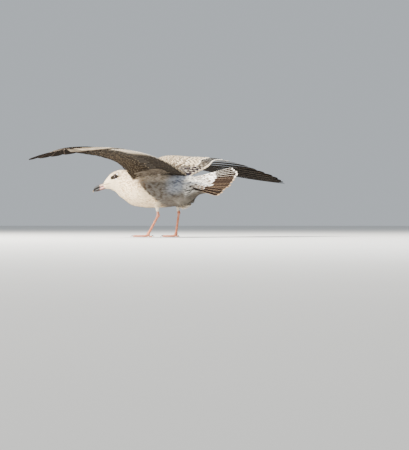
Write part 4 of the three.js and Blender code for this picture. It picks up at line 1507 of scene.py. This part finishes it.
def lids(side):
    """The ring of bare skin round the eye, lying on the ball."""
    middle, outward, upward, forward = eye_axes(side)

    def spot(turn, share):
        around = share * CIRCLE
        angle = turn * CIRCLE
        fore, high = np.cos(around), np.sin(around)
        opening = OPENING + 0.45 * np.abs(fore) ** 3 - 0.55 * np.maximum(high, 0) ** 2
        body = 0.26 + 0.16 * np.maximum(high, 0) + 0.05 * np.abs(fore)
        ridge = 1 + 0.15 * np.sin(3 * angle)
        wide = np.where(np.cos(angle) > 0, 1.9, 1.0)  # the ring runs on outwards under the feathers
        reach = opening + body * ridge * wide * np.cos(angle)
        on_ball = np.sqrt(np.maximum(EYE["radius"] ** 2 - opening**2, 1))
        depth = (on_ball + 0.05 + body * 0.8 * ridge * np.sin(angle)
                 - 0.35 * np.maximum(reach - opening, 0))
        return (middle + np.outer(reach * fore, forward) + np.outer(reach * high, upward)
                + np.outer(depth, outward))

    add = bpy.ops.mesh.primitive_torus_add
    piece = added(add, f"lids_{SIDE[side]}", major_segments=72, minor_segments=14)
    ring = mesh_points(piece)
    share = (np.arctan2(ring[:, 1], ring[:, 0]) / CIRCLE) % 1
    turn = (np.arctan2(ring[:, 2], np.hypot(ring[:, 0], ring[:, 1]) - 1) / CIRCLE) % 1
    set_points(piece, spot(turn, share) * MM)
    return faced(piece)


def lid_paint():
    paint = Paint("lids")
    grain = paint.noise(1400, 3.0)
    colour = paint.mix(grain.ease(0.35, 0.7), tint("0d0a09"), tint("1f1917"))
    return paint.finish(colour, 0.5 + grain * 0.2, paint.bump(grain, 0.0002, 0.6), Specular_IOR_Level=0.2)


eye_finish, lid_finish = eye_paint(), lid_paint()
for side in (1, -1):
    told(eyeball(side), eye_finish, "eye", f"eye_{SIDE[side]}")
    told(lids(side), lid_finish, "eye")

# %% [markdown]
# ## Legs, feet and claws
# Below its short feathered thigh the leg is bare: a knobbed ankle, then a slender shank sheathed in
# plates, wide ones down the front and small scales behind. Three webbed toes point ahead and a short one
# behind. Toes, web, heel and shank are separate tubes and sheets, welded by a fine voxel remesh so that
# skin runs on from one to the next, and the soles are pressed flat on the floor.

# %% Shank and toes
def run_tube(name, sides, rings, path, sizes):
    """A tube along a path: sizes(share) gives half its width across the bird and along it."""

    def spot(turn, share):
        middle = path(share)
        along = unit(path(np.minimum(share + 0.01, 1)) - path(np.maximum(share - 0.01, 0)))
        across = unit(np.cross(np.cross(along, (1, 0, 0)), along))
        front = np.cross(along, across)
        wide, deep = sizes(share)
        angle = turn * CIRCLE
        return middle + across * (wide * np.cos(angle))[:, None] + front * (deep * np.sin(angle))[:, None]

    return tube(name, sides, rings, spot)


def shank_tube(side):
    leg = LEGS[side]
    knee, ankle, foot = (place(leg[key]) for key in ("knee", "ankle", "foot"))
    bare = knee + (ankle - knee) * (THIGH_END - 0.25)
    whole = np.linalg.norm(ankle - bare) + np.linalg.norm(foot - ankle)
    bend = np.linalg.norm(ankle - bare) / whole

    def path(share):
        share = np.asarray(share, float)
        upper = bare + (ankle - bare) * (share / bend)[..., None]
        lower = ankle + (foot - ankle) * ((share - bend) / (1 - bend))[..., None]
        soft = ease(share, bend - 0.03, bend + 0.03)[..., None]
        return upper * (1 - soft) + lower * soft

    def sizes(share):
        joint = np.exp(-((share - bend) / 0.045) ** 2)
        low = ease(share, 0.90, 1.0)
        wide = 3.1 + 1.35 * joint + 1.3 * low + 0.5 * ease(share, bend, 0)
        deep = 3.7 + 1.9 * joint + 1.2 * low + 0.3 * ease(share, bend, 0)
        return wide, deep

    return run_tube("shank", 28, 130, path, sizes)


def toe_way(side, angle):
    return np.array((math.sin(math.radians(angle)) * side, -math.cos(math.radians(angle)), 0))


def toe_tube(side, angle, length, radius):
    at = place(LEGS[side]["foot"]) * (1, 1, 0)
    way = toe_way(side, angle)

    def path(share):
        share = np.asarray(share, float)
        high = radius * 0.86 + 3.2 * (1 - ease(share, 0, 0.3))
        return at + np.outer(share * length, way) + np.outer(high, (0, 0, 1))

    def sizes(share):
        joints = sum(np.exp(-((share - knuckle) / 0.05) ** 2) for knuckle in (0.34, 0.62, 0.86))
        blunt = 1 - np.maximum(0, (share - 0.9) / 0.1) ** 2 * 0.8
        size = radius * (0.80 + 0.16 * joints) * np.sqrt(np.maximum(blunt, 0.05))
        return size, size * 1.02

    return run_tube("toe", 20, 44, path, sizes)


def web_sheet(side, *toes):
    """The web between two toes: thin in the middle, drawn in between their tips."""
    at = place(LEGS[side]["foot"]) * (1, 1, 0)
    ways = [toe_way(side, TOES[name][0]) * TOES[name][1] for name in toes]

    def spot(turn, share):
        share = share * 0.97 + 0.03
        first, second = (np.outer(share, way) for way in ways)
        reach = first * (1 - turn)[:, None] + second * turn[:, None]
        hollow = 1 - 0.16 * np.sin(math.pi * turn) * share
        high = 1.2 + 0.5 * np.sin(math.pi * turn) * share
        return at + reach * 0.94 * hollow[:, None] + np.outer(high, (0, 0, 1))

    return modified(sheet("web", 24, 30, spot), "SOLIDIFY", thickness=1.5 * MM, offset=0.0)


def leg_piece(side):
    at, ankle = place(LEGS[side]["foot"]), LEGS[side]["ankle"]
    parts = [shank_tube(side)]
    parts += [toe_tube(side, *TOES[name]) for name in TOES]
    parts += [web_sheet(side, "inner", "middle"), web_sheet(side, "middle", "outer")]
    add = bpy.ops.mesh.primitive_uv_sphere_add
    heel = added(add, "heel", segments=24, ring_count=16, radius=5.6 * MM, location=at * MM)
    heel.scale = (0.86, 1.0, 1.15)
    piece = joined([*parts, at_origin(heel)], f"leg_{SIDE[side]}")
    modified(piece, "REMESH", mode="VOXEL", voxel_size=0.62 * MM)
    modified(piece, "SMOOTH", factor=0.5, iterations=4)
    points = mesh_points(piece)
    points[:, 2] = np.where(points[:, 2] < 0.5 * MM, np.maximum(points[:, 2] * 0.4, 0.0), points[:, 2])
    set_points(piece, points)
    bpy.ops.object.shade_smooth()
    # Where a point is on the leg, for its plates: its height up the shank, and how far out on the foot.
    x, y, z = (points / MM).T
    set_look(piece, "up", z - at[2])
    set_look(piece, "out", np.hypot(x - at[0], y - at[1]))
    set_look(piece, "front", -(y - np.interp(z, (at[2], ankle[2]), (at[1], -ankle[1]))))
    return piece


def leg_paint():
    paint = Paint("skin of the legs")
    up, out, front = map(paint.number, ("up", "out", "front"))
    cloud = paint.noise(120, 3.0)
    shank = up.ease(2, 8)
    plates = (up * (CIRCLE / 2.9)).wave().ease(-0.97, -0.6) * front.ease(-1.5, 0.5)
    cells = {"feature": "DISTANCE_TO_EDGE"}
    scales = paint.node("ShaderNodeTexVoronoi", cells, Vector=paint.place(), Scale=620.0)
    scales = Number(paint, scales).ease(0.02, 0.12)
    plated = plates * shank + scales * (1 - shank * front.ease(-1.5, 0.5))
    colour = paint.mix(cloud.ease(0.3, 0.75), tint("ad5c38"), tint("ca8058"))
    colour = paint.mix((1 - plated) * 0.45, colour, tint("8f6459"))
    colour = paint.mix(out.ease(10, 34) * (1 - shank) * 0.35, colour, tint("b98378"))
    colour = paint.mix((up - 60).size().ease(9, 3) * 0.35, colour, tint("c08c7d"))
    rough = 0.42 + (1 - plated) * 0.25 + cloud * 0.1
    bump = paint.bump(plated + paint.noise(1500, 2.0) * 0.15, 0.0005, 0.7)
    return paint.finish(colour, rough, bump, Coat_Weight=0.08, Subsurface_Weight=0.0)


leg_finish = leg_paint()
for side in (1, -1):
    told(leg_piece(side), leg_finish, "leg_skin", f"shank_{SIDE[side]}", f"foot_{SIDE[side]}")

# %% Claws
def claw(side, name):
    """A curved horn at a toe's end: flat beneath and drawn to a point."""
    angle, length, _ = TOES[name]
    at = place(LEGS[side]["foot"]) * (1, 1, 0)
    way = toe_way(side, angle)
    across = np.array((-way[1], way[0], 0))

    def spot(turn, share):
        radius = CLAW["radius"] * (1.0 - 0.93 * share**1.3)
        ahead = length - 1.2 + (CLAW["length"] + 1.4) * share
        high = 0.25 + radius + 2.2 * (1 - share**1.8) * (1 - 0.35 * share)
        ring = turn * CIRCLE
        rise = np.where(np.sin(ring) < 0, 0.7, 1.1) * np.sin(ring)
        return (at + np.outer(ahead, way) + across * (radius * 0.82 * np.cos(ring))[:, None]
                + np.outer(high + radius * rise, (0, 0, 1)))

    return tube(f"horn_{name}_{SIDE[side]}", 18, 18, spot)


def claw_paint():
    paint = Paint("claws")
    grain = paint.noise(600, 3.0)
    colour = paint.mix(grain.ease(0.3, 0.7), tint("1c1614"), tint("40332d"))
    return paint.finish(colour, 0.3 + grain * 0.15, paint.bump(grain, 0.0001, 0.4), Coat_Weight=0.2)


claw_finish = claw_paint()
for side in (1, -1):
    for name in TOES:
        told(claw(side, name), claw_finish, "claw", f"claw_{name}_{SIDE[side]}")

# %% [markdown]
# ## Floor and light
# The bird stands on a wide pale floor that runs to a pale horizon. One large soft light high on the
# bill's side does the work of the sun, a fainter one opens the shadows, and the pale surroundings fill
# the rest.

# %% Floor and lights
def add_floor():
    floor = added(bpy.ops.mesh.primitive_plane_add, "floor", size=160, location=(0, 0, -0.0002))
    at_origin(floor)
    paint = Paint("floor")
    speckle = paint.noise(3, 3.0)
    colour = paint.mix(speckle, tint("dcdcda"), tint("e2e2e0"))
    floor.data.materials.append(paint.finish(colour, 0.9 + speckle * 0.05))


def add_light(name, place_at, size, power, colour=(1, 1, 1)):
    lamp = added(bpy.ops.object.light_add, name, type="AREA", location=place_at)
    lamp.data.size, lamp.data.energy, lamp.data.color = size, power, colour
    lamp.rotation_euler = (Vector((0, 0, 0.15)) - Vector(place_at)).to_track_quat("-Z", "Y").to_euler()


def add_surroundings():
    world = bpy.data.worlds.new("pale room")
    bpy.context.scene.world = world
    world.use_nodes = True
    background = world.node_tree.nodes["Background"].inputs
    background["Color"].default_value = (0.80, 0.86, 0.92, 1)
    background["Strength"].default_value = 0.62


add_floor()
add_light("key", (3.0, -2.5, 3.4), 1.6, 1600, (1, 0.955, 0.88))
add_light("fill", (1.5, 4.0, 1.8), 3.0, 140, (0.93, 0.97, 1))
add_surroundings()
